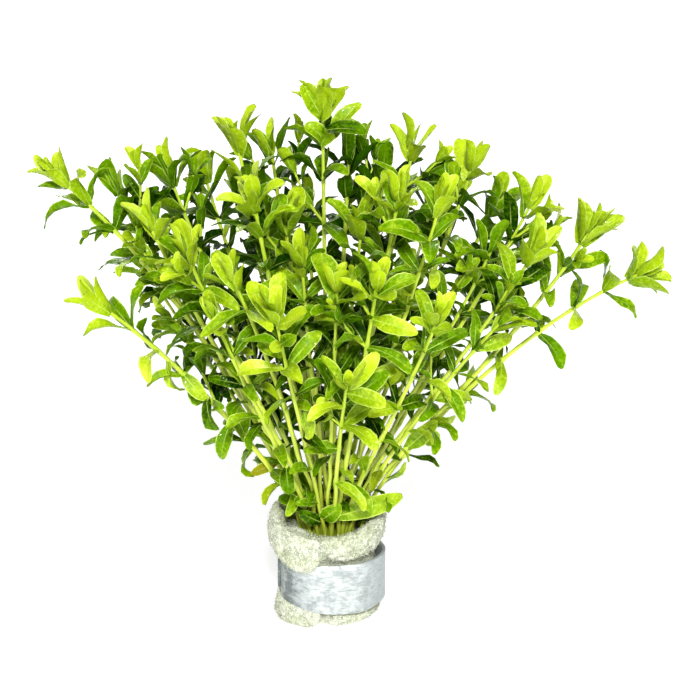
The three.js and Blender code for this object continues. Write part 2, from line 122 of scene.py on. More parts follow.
@dataclass(frozen=True)
class Wiring:
    """Adds nodes to one tree, and gives of each the output that the next node reads."""

    tree: bpy.types.NodeTree

    def node(
        self, kind: str, inputs: dict[Any, Any] | None = None, **settings: Any
    ) -> bpy.types.Node:
        """Adds a node.

        Args:
            kind: The node's type.
            inputs: For an input's name or number, a value or the output that feeds it.
            settings: The node's own properties.

        Returns:
            The new node.
        """
        made = self.tree.nodes.new(kind)
        for name, value in settings.items():
            setattr(made, name, value)
        feed(made, inputs or {})
        return made

    def add(
        self,
        kind: str,
        inputs: dict[Any, Any] | None = None,
        output: int | str = 0,
        **settings: Any,
    ) -> bpy.types.NodeSocket:
        """Adds a node as above, and gives one of its outputs by name or number."""
        return self.node(kind, inputs, **settings).outputs[output]

    def maths(self, operation: str, *values: Any) -> bpy.types.NodeSocket:
        """Works out a sum of one, two or three values."""
        return self.add("ShaderNodeMath", dict(enumerate(values)), operation=operation)

    def ramp(
        self,
        value: Any,
        span: tuple[float, float],
        to: tuple[float, float] = (0.0, 1.0),
        form: str = "LINEAR",
    ) -> bpy.types.NodeSocket:
        """Turns a value that runs over one span into one that runs over another.

        Args:
            value: The value.
            span: Where it starts and ends.
            to: What it is turned into at these two.
            form: How it runs between them.

        Returns:
            The new value, which stays between the two.
        """
        ends = {"From Min": span[0], "From Max": span[1], "To Min": to[0], "To Max": to[1]}
        return self.add("ShaderNodeMapRange", {"Value": value, **ends}, interpolation_type=form)

    def mix(self, share: Any, first: Any, second: Any) -> bpy.types.NodeSocket:
        """Mixes two colours, each an output or six hex digits, by the second one's share."""
        pair = [linear(each) if isinstance(each, str) else each for each in (first, second)]
        return self.add("ShaderNodeMix", {0: share, 6: pair[0], 7: pair[1]}, 2, data_type="RGBA")

    def noise(self, place: Any, scale: Any, detail: float = 2.0) -> bpy.types.NodeSocket:
        """Makes noise about a half.

        Args:
            place: Where it is read.
            scale: How often it repeats in a unit.
            detail: How many finer layers it has.

        Returns:
            The noise.
        """
        return self.add(
            "ShaderNodeTexNoise", {"Vector": place, "Scale": scale, "Detail": detail}, "Fac"
        )

    def bump(
        self, height: Any, strength: float, depth: float, invert: bool = False
    ) -> bpy.types.NodeSocket:
        """Tilts the surface as a relief of a height and a depth would."""
        relief = {"Height": height, "Strength": strength, "Distance": depth}
        return self.add("ShaderNodeBump", relief, "Normal", invert=invert)

    def split(self, place: Any) -> bpy.types.NodeOutputs:
        """Gives the X, Y and Z of a place."""
        return self.node("ShaderNodeSeparateXYZ", {0: place}).outputs

    def point(self) -> bpy.types.NodeSocket:
        """Gives the point in the object's own frame."""
        return self.add("ShaderNodeTexCoord", output="Object")

    def attribute(self, name: str, output: str = "Fac") -> bpy.types.NodeSocket:
        """Reads one of the mesh's attributes in a material."""
        return self.add("ShaderNodeAttribute", output=output, attribute_name=name)

    def named(self, name: str, kind: str = "FLOAT") -> bpy.types.NodeSocket:
        """Reads one of the mesh's attributes in a geometry tree."""
        read = {"Name": name}
        return self.add("GeometryNodeInputNamedAttribute", read, "Attribute", data_type=kind)

    def store(self, geometry: Any, name: str, value: Any, kind: str) -> bpy.types.NodeSocket:
        """Writes an attribute on a geometry's points.

        Args:
            geometry: The geometry.
            name: The attribute's name.
            value: What is written.
            kind: Its data type.

        Returns:
            The geometry with it.
        """
        written = {"Geometry": geometry, "Name": name, "Value": value}
        return self.add(
            "GeometryNodeStoreNamedAttribute", written, data_type=kind, domain="POINT"
        )

    def real(self, *parts: bpy.types.NodeSocket) -> bpy.types.NodeSocket:
        """Joins geometries, the last one first, and makes their instances real.

        Args:
            parts: The geometries.

        Returns:
            The joined geometry.
        """
        joined = self.node("GeometryNodeJoinGeometry")
        for part in parts:
            self.tree.links.new(part, joined.inputs[0])
        return self.add("GeometryNodeRealizeInstances", {0: joined.outputs[0]})

    def dress(self, geometry: Any, material: Any, **only: Any) -> bpy.types.NodeSocket:
        """Gives a geometry its material, all over or on a selection only."""
        dressed = {"Geometry": geometry, "Material": material, **only}
        return self.add("GeometryNodeSetMaterial", dressed)


def new_material(name: str) -> tuple[bpy.types.Material, bpy.types.Node, Wiring]:
    """Makes an empty material.

    Args:
        name: The material's name.

    Returns:
        The material, its shader, and the wiring of its tree.
    """
    material = bpy.data.materials.new(name)
    material.use_nodes = True
    material.node_tree.nodes.clear()
    wiring = Wiring(material.node_tree)
    shader = wiring.node("ShaderNodeBsdfPrincipled")
    wiring.node("ShaderNodeOutputMaterial", {"Surface": shader.outputs["BSDF"]})
    return material, shader, wiring


def new_geometry_tree(name: str, sockets: dict[str, str]) -> tuple[Wiring, bpy.types.NodeOutputs]:
    """Makes a geometry tree with a geometry in and out, and more inputs.

    Args:
        name: The tree's name.
        sockets: For each further input's name, the end of its type's name.

    Returns:
        The wiring of the tree, and its inputs.
    """
    tree = bpy.data.node_groups.new(name, "GeometryNodeTree")
    for socket, kind in {"Geometry": "Geometry", **sockets}.items():
        tree.interface.new_socket(socket, in_out="INPUT", socket_type=f"NodeSocket{kind}")
    tree.interface.new_socket("Geometry", in_out="OUTPUT", socket_type="NodeSocketGeometry")
    wiring = Wiring(tree)
    return wiring, wiring.node("NodeGroupInput").outputs


def new_object(name: str, mesh: bpy.types.Mesh) -> bpy.types.Object:
    """Makes an object of a mesh, at the origin, in the scene.

    Args:
        name: The object's name.
        mesh: Its mesh.

    Returns:
        The new object.
    """
    made = bpy.data.objects.new(name, mesh)
    bpy.context.scene.collection.objects.link(made)
    return made


def settle(piece: bpy.types.Object) -> None:
    """Turns what a piece's modifiers make into its own plain mesh.

    Args:
        piece: The piece, which loses its modifiers.
    """
    graph = bpy.context.evaluated_depsgraph_get()
    made = bpy.data.meshes.new_from_object(
        piece.evaluated_get(graph), preserve_all_data_layers=True, depsgraph=graph
    )
    piece.modifiers.clear()
    piece.data = made


def add_tree(
    piece: bpy.types.Object, tree: bpy.types.NodeTree, values: dict[str, Any]
) -> None:
    """Puts a geometry tree on a piece as a modifier.

    Args:
        piece: The piece.
        tree: The geometry tree.
        values: What each named input of the tree is set to.
    """
    modifier = piece.modifiers.new(tree.name, "NODES")
    modifier.node_group = tree
    names = {
        item.name: item.identifier
        for item in tree.interface.items_tree
        if item.item_type == "SOCKET" and item.in_out == "INPUT"
    }
    for name, value in values.items():
        modifier[names[name]] = value


def write_attribute(mesh: bpy.types.Mesh, name: str, kind: str, values: np.ndarray) -> None:
    """Writes an attribute on a mesh's points.

    Args:
        mesh: The mesh.
        name: The attribute's name.
        kind: Its data type.
        values: One row for each point.
    """
    made = mesh.attributes.new(name, kind, "POINT")
    made.data.foreach_set("vector" if kind == "FLOAT_VECTOR" else "value", values.ravel())


def write_map(mesh: bpy.types.Mesh, places: list[tuple[float, float]]) -> None:
    """Writes a mesh's UV map, from a place for each of its points.

    Args:
        mesh: The mesh.
        places: For each point its U and V.
    """
    layer = mesh.uv_layers.new(name=UV_NAME)
    for loop in mesh.loops:
        layer.data[loop.index].uv = places[loop.vertex_index]


def weld(mesh: bpy.types.Mesh) -> bmesh.types.BMesh:
    """Opens a mesh, with the corners that its faces share merged into one each.

    Args:
        mesh: The mesh, which stays as it is.

    Returns:
        The merged copy, which the caller frees.
    """
    solid = bmesh.new()
    solid.from_mesh(mesh)
    bmesh.ops.remove_doubles(solid, verts=solid.verts, dist=MERGED)
    solid.verts.index_update()
    return solid


def search_tree(points: list[Vector]) -> kdtree.KDTree:
    """Sorts points for quick search.

    Args:
        points: The points, each found again by its number.

    Returns:
        The search tree.
    """
    tree = kdtree.KDTree(len(points))
    for number, point in enumerate(points):
        tree.insert(point, number)
    tree.balance()
    return tree


def smooth_line(points: np.ndarray, step: float) -> tuple[np.ndarray, np.ndarray, np.ndarray]:
    """Runs a smooth curve through points that stand unevenly far apart.

    Args:
        points: The points, one a row.
        step: How far apart the new points are.

    Returns:
        The new points, how far along each is, and how far along each given point is.
    """
    gaps = np.linalg.norm(np.diff(points, axis=0), axis=1)
    knots = np.concatenate(([0.0], np.cumsum(gaps)))
    slopes = np.diff(points, axis=0) / gaps[:, None]
    before, after = gaps[:-1, None], gaps[1:, None]
    inner = (slopes[:-1] * after + slopes[1:] * before) / (before + after)
    tangents = np.vstack((slopes[:1], inner, slopes[-1:]))
    along = np.linspace(0, knots[-1], max(2, int(math.ceil(knots[-1] / step)) + 1))
    i = np.clip(np.searchsorted(knots, along, side="right") - 1, 0, len(gaps) - 1)
    gap = gaps[i][:, None]
    t = ((along - knots[i]) / gaps[i])[:, None]
    found = (
        (2 * t**3 - 3 * t**2 + 1) * points[i]
        + (t**3 - 2 * t**2 + t) * gap * tangents[i]
        + (3 * t**2 - 2 * t**3) * points[i + 1]
        + (t**3 - t**2) * gap * tangents[i + 1]
    )
    return found, along, knots


@dataclass(frozen=True)
class LeafFinish:
    """Living leaf blade, wet: a waxy, bright green skin under a film of water.

    The sizes of patterns are in millimetres. Places across the leaf are shares of its width,
    from the midrib, and places along it are shares of its length. The tone carries painted shade
    and light, and the rim and small flecks carry painted highlights.
    """

    deep: str = "103200"
    middle: str = "608C00"
    bright: str = "B8D018"
    pale: str = "DAF074"
    withered: str = "8A8412"
    # Undersides are mixed towards this darker green as painted shade.
    underside: str = "4A7C00"
    patch_size: float = 2.6
    fleck_size: float = 0.7
    ripple_size: float = 1.3
    bead_size: float = 1.1
    relief: float = 0.25 * MM
    bead_relief: float = 0.3 * MM
    # What patches, flecks and the painted light towards the leaf's tip add to its tone, and
    # what is then taken off.
    patchiness: float = 0.4
    speckle: float = 0.6
    tip_painted_light: float = 0.24
    tone_offset: float = -0.51
    # The tones over which deep turns to middle, and middle to bright. Low tones hold painted shade.
    greening: tuple[float, float] = (0.15, 0.65)
    brightening: tuple[float, float] = (0.6, 1.15)
    # The midrib's edge, where it fades out along the leaf, and how pale it is at the foot.
    midrib: tuple[float, float] = (0.015, 0.05)
    midrib_fade: tuple[float, float] = (0.05, 0.85)
    midrib_share: float = 0.65
    # Where across the leaf the painted rim highlight starts and ends, and how strong it is.
    rim: tuple[float, float] = (0.42, 0.5)
    rim_highlight_share: float = 0.75
    # Where the fleck noise gives painted glints, and how strong they are.
    glint_flecks: tuple[float, float] = (0.58, 0.72)
    glint_share: float = 0.45
    underside_shade_share: float = 0.3
    vein_waves: float = 44.0
    vein_height: float = 0.12
    # Where the ripple lets a bead of water lie.
    beaded: tuple[float, float] = (0.48, 0.54)

    def material(self) -> bpy.types.Material:
        """Makes the leaf's material, which reads each leaf's tone with its painted shade and light.

        Returns:
            The material.
        """
        made, shader, wire = new_material("wet_leaf_skin")
        tone, sere, under = (wire.attribute(name) for name in ("tone", "sere", "under"))
        place = wire.split(wire.add("ShaderNodeUVMap", output="UV", uv_map=UV_NAME))
        out = wire.maths("ABSOLUTE", wire.maths("SUBTRACT", place["X"], 0.5))
        point = wire.point()
        # Chlorophyll lies in soft patches and fine flecks. Painted shade darkens the foot,
        # and painted light brightens the tip.
        patches = wire.noise(point, per_metre(self.patch_size))
        flecks = wire.noise(point, per_metre(self.fleck_size))
        toned = wire.maths("MULTIPLY_ADD", patches, self.patchiness, tone)
        toned = wire.maths("MULTIPLY_ADD", flecks, self.speckle, toned)
        tip = wire.maths("MULTIPLY_ADD", place["Y"], self.tip_painted_light, self.tone_offset)
        toned = wire.maths("ADD", toned, tip)
        low = wire.ramp(toned, self.greening, form="SMOOTHSTEP")
        high = wire.ramp(toned, self.brightening)
        colour = wire.mix(low, self.deep, self.middle)
        colour = wire.mix(high, colour, self.bright)
        colour = wire.mix(sere, colour, self.withered)
        # The midrib is a pale line that fades out towards the leaf's tip.
        rib = wire.ramp(out, self.midrib, (1, 0))
        fade = wire.ramp(place["Y"], self.midrib_fade, (self.midrib_share, 0))
        colour = wire.mix(wire.maths("MULTIPLY", rib, fade), colour, self.pale)
        # A pale line along the rim is a painted highlight, on all but the darkest leaves.
        rim = wire.ramp(out, self.rim, (0, self.rim_highlight_share))
        colour = wire.mix(wire.maths("MULTIPLY", rim, low), colour, self.pale)
        # Small pale flecks on the brighter leaves are painted glints of the film of water.
        painted_glints = wire.ramp(flecks, self.glint_flecks, (0, self.glint_share))
        colour = wire.mix(wire.maths("MULTIPLY", painted_glints, high), colour, self.pale)
        # The underside is painted a darker green, as shade.
        below = wire.maths("MULTIPLY", under, self.underside_shade_share)
        colour = wire.mix(below, colour, self.underside)
        ripple = wire.noise(point, per_metre(self.ripple_size))
        vein = wire.maths("SINE", wire.maths("MULTIPLY", out, self.vein_waves))
        height = wire.maths("MULTIPLY_ADD", vein, self.vein_height, ripple)
        # The underside is duller than the waxy upper side, and leaves of high tone shine most:
        # the young ones and those painted lighter.
        young = wire.maths("MULTIPLY_ADD", wire.maths("POWER", tone, 3.0), 0.5, 0.02)
        upper = wire.maths("MULTIPLY_ADD", under, -0.85, 1.0)
        # The film of water lies in small beads, which give the leaf its glints. Less of it shows
        # on leaves of low tone, which are painted in shade.
        beads = wire.noise(point, per_metre(self.bead_size), 1.0)
        wet = wire.ramp(ripple, self.beaded)
        wet = wire.maths("MULTIPLY", wet, wire.maths("MULTIPLY_ADD", tone, 0.7, 0.3))
        feed(
            shader,
            {
                "Base Color": colour,
                "Normal": wire.bump(height, 0.5, self.relief),
                "Roughness": 0.38,
                "IOR": 1.42,
                "Specular IOR Level": wire.maths("MULTIPLY", young, upper),
                "Coat Weight": wet,
                "Coat Normal": wire.bump(beads, 1.0, self.bead_relief),
                "Coat Roughness": 0.1,
                "Coat IOR": 1.25,
            },
        )
        return made


@dataclass(frozen=True)
class StalkFinish:
    """Living stalk: pale, watery tissue with fine ribs along it, in painted shade by the holder."""

    young: str = "B2CC28"
    old: str = "D2E24E"
    streak: str = "8CB010"
    joint: str = "B2CC30"
    foot: str = "6E7A10"
    streaking: tuple[float, float] = (0.45, 0.7)
    streak_share: float = 0.4
    # From the first of these levels down to the second, into the holder, it is painted
    # darker and olive, as shade.
    sunk: tuple[float, float] = (44 * MM, 24 * MM)
    mouth_shade_share: float = 0.6
    relief: float = 0.12 * MM

    def material(self) -> bpy.types.Material:
        """Makes the stalk's material, which reads the tone along the stalk.

        Returns:
            The material.
        """
        made, shader, wire = new_material("pale_stalk_skin")
        streaks = wire.noise(wire.attribute("skin", "Vector"), 2.2, 3.0)
        colour = wire.mix(wire.attribute("tone"), self.young, self.old)
        streaked = wire.ramp(streaks, self.streaking, (0, self.streak_share))
        colour = wire.mix(streaked, colour, self.streak)
        colour = wire.mix(wire.attribute("knee"), colour, self.joint)
        # Painted shade: darker and olive towards the foam's mouth.
        level = wire.split(wire.point())["Z"]
        sunk = wire.ramp(level, self.sunk, (0, self.mouth_shade_share))
        colour = wire.mix(sunk, colour, self.foot)
        feed(
            shader,
            {
                "Base Color": colour,
                "Normal": wire.bump(streaks, 0.4, self.relief),
                "Roughness": 0.4,
                "IOR": 1.4,
                "Specular IOR Level": 0.3,
                "Coat Weight": 1.0,
                "Coat Roughness": 0.15,
                "Coat IOR": 1.35,
            },
        )
        return made


@dataclass(frozen=True)
class FoamFinish:
    """Reticulated polyurethane filter foam, damp: a pale net of struts round open cells.

    The cells are painted dark, as shade.
    """

    strut: str = "F8F9EA"
    stained: str = "E2E8C0"
    # The open cells' painted shade.
    pore_shade: str = "ACB298"
    cell_size: float = 0.72
    # How far the noise is off its middle at a strut's edge and inside a cell.
    cell_edge: tuple[float, float] = (0.02, 0.06)
    stain_size: float = 6.0
    staining: tuple[float, float] = (0.4, 0.68)
    stain_share: float = 0.8
    relief: float = 0.15 * MM

    def material(self) -> bpy.types.Material:
        """Makes the foam's material, which reads how far a point lies inside the net.

        Returns:
            The material.
        """
        made, shader, wire = new_material("reticulated_filter_foam")
        point = wire.point()
        grain = wire.noise(point, per_metre(self.cell_size))
        stains = wire.noise(point, per_metre(self.stain_size), 3.0)
        stained = wire.ramp(stains, self.staining, (0, self.stain_share))
        colour = wire.mix(stained, self.strut, self.stained)
        # The struts run where the noise crosses its middle. Painted shade darkens the open cells
        # between them, the more so in the skin's pits.
        off = wire.maths("ABSOLUTE", wire.maths("SUBTRACT", grain, 0.5))
        opened = wire.ramp(off, self.cell_edge, (0.1, 1))
        pore_shade_mask = wire.maths("MULTIPLY", opened, wire.attribute("pit"))
        feed(
            shader,
            {
                "Base Color": wire.mix(pore_shade_mask, colour, self.pore_shade),
                "Normal": wire.bump(opened, 0.6, self.relief, invert=True),
                "Roughness": 0.75,
                "IOR": 1.5,
            },
        )
        return made


@dataclass(frozen=True)
class MetalFinish:
    """Rolled soft zinc alloy, dulled in water: pale grey, mottled, finely scratched along it.

    A painted highlight lies down the front's middle, and painted shade in patches on the left.
    """

    bright: str = "DCE2E1"
    dull: str = "B0B8B8"
    stain_and_shade: str = "6C7572"
    scratch: str = "8A9390"
    rub: str = "F6F8F6"
    # Noise in clouds, mottles, long lines and fine lines: how often each repeats in 100 mm along
    # and up the strip, and its detail.
    grains: tuple[tuple[float, float, float], ...] = (
        (30.0, 36.0, 4.0),
        (70.0, 110.0, 5.0),
        (44.0, 300.0, 3.0),
        (90.0, 360.0, 3.0),
    )
    # The strip's middle across the bunch, and how far from it the painted highlight ends.
    centre: float = -4 * MM
    highlight_reach: tuple[float, float] = (4 * MM, 11 * MM)
    # Where the painted shade in patches on the left starts, and where it is at its fullest.
    left_shade_span: tuple[float, float] = (-9 * MM, -17 * MM)
    # The cloudiness over which worn metal shows, the spans over which stains with painted shade
    # and both kinds of lines show, and how strongly.
    wearing: tuple[float, float] = (0.62, 0.95)
    staining: tuple[float, float] = (-0.04, 0.2)
    scratching: tuple[float, float] = (0.56, 0.64)
    rubbing: tuple[float, float] = (0.56, 0.68)
    shares: tuple[float, float, float] = (0.85, 0.6, 0.35)
    relief: float = 0.02 * MM

    def material(self) -> bpy.types.Material:
        """Makes the strip's material, which reads its place along and up the strip, and its X for
        the painted highlight and shade.

        Returns:
            The material.
        """
        made, shader, wire = new_material("rolled_zinc_alloy")
        place = wire.add("ShaderNodeUVMap", output="UV", uv_map=UV_NAME)
        clouds, mottle, lines, fine = (
            wire.noise(
                wire.add("ShaderNodeMapping", {"Vector": place, "Scale": (along, up, 1.0)}),
                1.0,
                detail,
            )
            for along, up, detail in self.grains
        )
        cloud = wire.maths("MULTIPLY_ADD", mottle, 0.6, clouds)
        across = wire.split(wire.point())["X"]
        # A painted highlight: the front's middle is bright where worn metal shows, and the metal
        # is duller towards both sides.
        off = wire.maths("ABSOLUTE", wire.maths("SUBTRACT", across, self.centre))
        wear_and_highlight = wire.maths(
            "MULTIPLY",
            wire.ramp(cloud, self.wearing, form="SMOOTHSTEP"),
            wire.ramp(off, self.highlight_reach, (1, 0.15), "SMOOTHSTEP"),
        )
        colour = wire.mix(wear_and_highlight, self.dull, self.bright)
        # Painted shade darkens the left in patches, over stains that the clouds leave all along.
        left = wire.ramp(across, self.left_shade_span, form="SMOOTHSTEP")
        stains_and_shade = wire.maths("SUBTRACT", wire.maths("MULTIPLY_ADD", left, 0.38, 0.56), cloud)
        for grain, span, share, tint in zip(
            (stains_and_shade, lines, fine),
            (self.staining, self.scratching, self.rubbing),
            self.shares,
            (self.stain_and_shade, self.scratch, self.rub),
        ):
            colour = wire.mix(wire.ramp(grain, span, (0, share)), colour, tint)
        height = wire.maths("SUBTRACT", lines, fine)
        feed(
            shader,
            {
                "Base Color": colour,
                "Normal": wire.bump(height, 0.5, self.relief, invert=True),
                "Roughness": wire.ramp(wear_and_highlight, (0.0, 1.0), (0.6, 0.4)),
                "Metallic": 0.7,
            },
        )
        return made


@dataclass(frozen=True)
class LeafPlace:
    """Where a leaf grows: its foot, its tip, how it lies, and its size."""

    foot: Vector
    tip: Vector
    across: Vector
    face: Vector
    width: float
    bend: float
    joint: int
    level: int

    @property
    def middle(self) -> Vector:
        """Gives the point halfway between the foot and the tip."""
        return (self.foot + self.tip) / 2

    def turned(self, centre: Vector, axis: Vector, angle: float, size: float) -> LeafPlace:
        """Gives a copy of the leaf, turned round its stalk and made longer or shorter.

        Args:
            centre: A point on the stalk's axis.
            axis: The stalk's direction.
            angle: The turn, in radians.
            size: The copy's size as a share of this leaf's.

        Returns:
            The copy.
        """
        turn = Matrix.Rotation(angle, 3, axis)
        foot = centre + turn @ (self.foot - centre)
        tip = foot + turn @ (self.tip - self.foot) * size
        across, face = turn @ self.across, turn @ self.face
        return replace(self, foot=foot, tip=tip, across=across, face=face, width=self.width * size)


@dataclass
class StemLine:
    """A stem as read from its solid: its centre line's points and its leaves."""

    name: str
    points: np.ndarray
    joints: list[int]
    leaves: list[LeafPlace] = field(default_factory=list)
    twigs: list[np.ndarray] = field(default_factory=list)


@dataclass(frozen=True)
class StemReader:
    """Reads a stem's centre line and its leaves back from its faceted solid."""

    # The stalk's rings have shorter edges than this.
    ring_edge: float = 1.0 * MM
    # How far from the centre line a leaf's foot sits.
    seat: float = 0.3 * MM
    # How far the faceted leaf's side points stand over its middle, by its width.
    fold: float = 0.12

    def read(self, node: bpy.types.Object) -> StemLine:
        """Reads one stem.

        Args:
            node: The stem's node in the frame.

        Returns:
            The stem's line, with its leaves.
        """
        solid = weld(node.data)
        near = {v: {e.other_vert(v) for e in v.link_edges} for v in solid.verts}
        blades = self._blades(solid, near)
        in_blades = {v for blade in blades for v in blade[:4]}
        rings = self._rings([v for v in solid.verts if v not in in_blades], near)
        centres = [sum((v.co for v in ring), Vector()) / len(ring) for ring in rings]
        ring_of = {v: i for i, ring in enumerate(rings) for v in ring}
        line = StemLine(node.name, np.array(centres), [])
        for left, right, end, _over, a, b in blades:
            i = ring_of[a]
            corner = (a.co + b.co) / 2
            along = (centres[i + 1] - centres[i]).normalized()
            place = self._place(left.co, right.co, end.co, corner, centres[i], along)
            line.leaves.append(replace(place, joint=i, level=len(rings) - 2 - i))
        line.joints = sorted({leaf.joint for leaf in line.leaves})
        solid.free()
        return line

    @staticmethod
    def _blades(solid: bmesh.types.BMesh, near: dict) -> list[tuple]:
        """Finds each leaf: its two side points, its end, the point over its foot, and its foot.

        Args:
            solid: The stem's welded solid.
            near: Each corner's neighbours.

        Returns:
            For each leaf these six corners: left, right, end, over, and the foot's two.
        """
        sides = [v for v in solid.verts if len(v.link_faces) == 3]
        found, used = [], set()
        for i, left in enumerate(sides):
            for right in sides[i + 1 :]:
                shared = near[left] & near[right]
                if left in used or right in used or len(shared) != 2:
                    continue
                end, over = sorted(shared, key=lambda v: len(v.link_faces))
                if len(end.link_faces) != 5:
                    continue
                used |= {left, right}
                a, b = (near[left] - shared).pop(), (near[right] - shared).pop()
                found.append((left, right, end, over, a, b))
        return found

    def _rings(self, points: list, near: dict) -> list[list]:
        """Groups the stalk's corners into rings, in order from the foot to the tip.

        Args:
            points: The corners that no leaf has alone.
            near: Each corner's neighbours.

        Returns:
            The rings, each a list of corners.
        """
        left, rings = set(points), []
        while left:
            ring, edge = [], [left.pop()]
            while edge:
                here = edge.pop()
                ring.append(here)
                for other in near[here] & left:
                    if (other.co - here.co).length < self.ring_edge:
                        left.discard(other)
                        edge.append(other)
            rings.append(sorted(ring, key=lambda v: v.index))
        at = {v: i for i, ring in enumerate(rings) for v in ring}
        here = min(range(len(rings)), key=lambda i: min(v.co.z for v in rings[i]))
        order = [here]
        while True:
            beyond = {at[o] for v in rings[here] for o in near[v] if o in at} - set(order)
            if not beyond:
                return [rings[i] for i in order]
            here = beyond.pop()
            order.append(here)

    def _place(
        self,
        left: Vector,
        right: Vector,
        end: Vector,
        corner: Vector,
        centre: Vector,
        along: Vector,
    ) -> LeafPlace:
        """Works out how a leaf lies from its few points.

        Args:
            left: Its left side point.
            right: Its right side point.
            end: Its tip.
            corner: The middle of its foot on the stalk's skin.
            centre: The stalk's centre at the foot.
            along: The stalk's direction there.

        Returns:
            The leaf's place, still without its joint and level.
        """
        out = (corner - centre).normalized()
        foot = centre + out * self.seat
        chord = end - foot
        across = left - right
        width = across.length
        across = (across - chord * across.dot(chord) / chord.length_squared).normalized()
        face = across.cross(chord).normalized()
        if face.dot(along - out) < 0:
            across, face = -across, -face
        middle = (left + right) / 2 - face * self.fold * width
        rise = (middle - foot).dot(face)
        bend = 4 * math.atan(2 * rise / chord.length)
        return LeafPlace(foot, end.copy(), across, face, width, bend, 0, 0)


@dataclass(frozen=True)
class Holder:
    """The room that the foam leaves for leaves, about the holder's own axis."""

    axis: tuple[float, float] = (-5.7 * MM, -4.75 * MM)
    half_width: float = 7.7 * MM
    half_depth: float = 6.5 * MM
    flare: float = 4.8 * MM
    foot: float = 17 * MM
    top: float = 30 * MM
    clearance: float = 0.8 * MM

    def is_clear(self, point: Vector) -> bool:
        """Tells whether a point is above the foam or inside its mouth.

        Args:
            point: The point.

        Returns:
            True where a leaf may be.
        """
        if point.z > self.top:
            return True
        out = self.flare * smoothstep(self.foot, self.top, point.z) - self.clearance
        x = (point.x - self.axis[0]) / (self.half_width + out)
        y = (point.y - self.axis[1]) / (self.half_depth + out)
        return math.hypot(x, y) < 1


@dataclass(frozen=True)
class LoneLeaf:
    """A leaf that grows alone, all in millimetres.

    It grows from the stalk nearest to its foot, and its upper side faces as given. Its level
    is 0 in a bud and grows down the stalk.
    """

    foot: tuple[float, float, float]
    tip: tuple[float, float, float]
    faces: tuple[float, float, float]
    width: float
    bend: float
    level: int = 4


@dataclass(frozen=True)
class PairHabit:
    """How a pair of leaves stands on its stalk: its angle, its leaves' length and bend."""

    opening: float
    length: float
    bend: float
    level: int


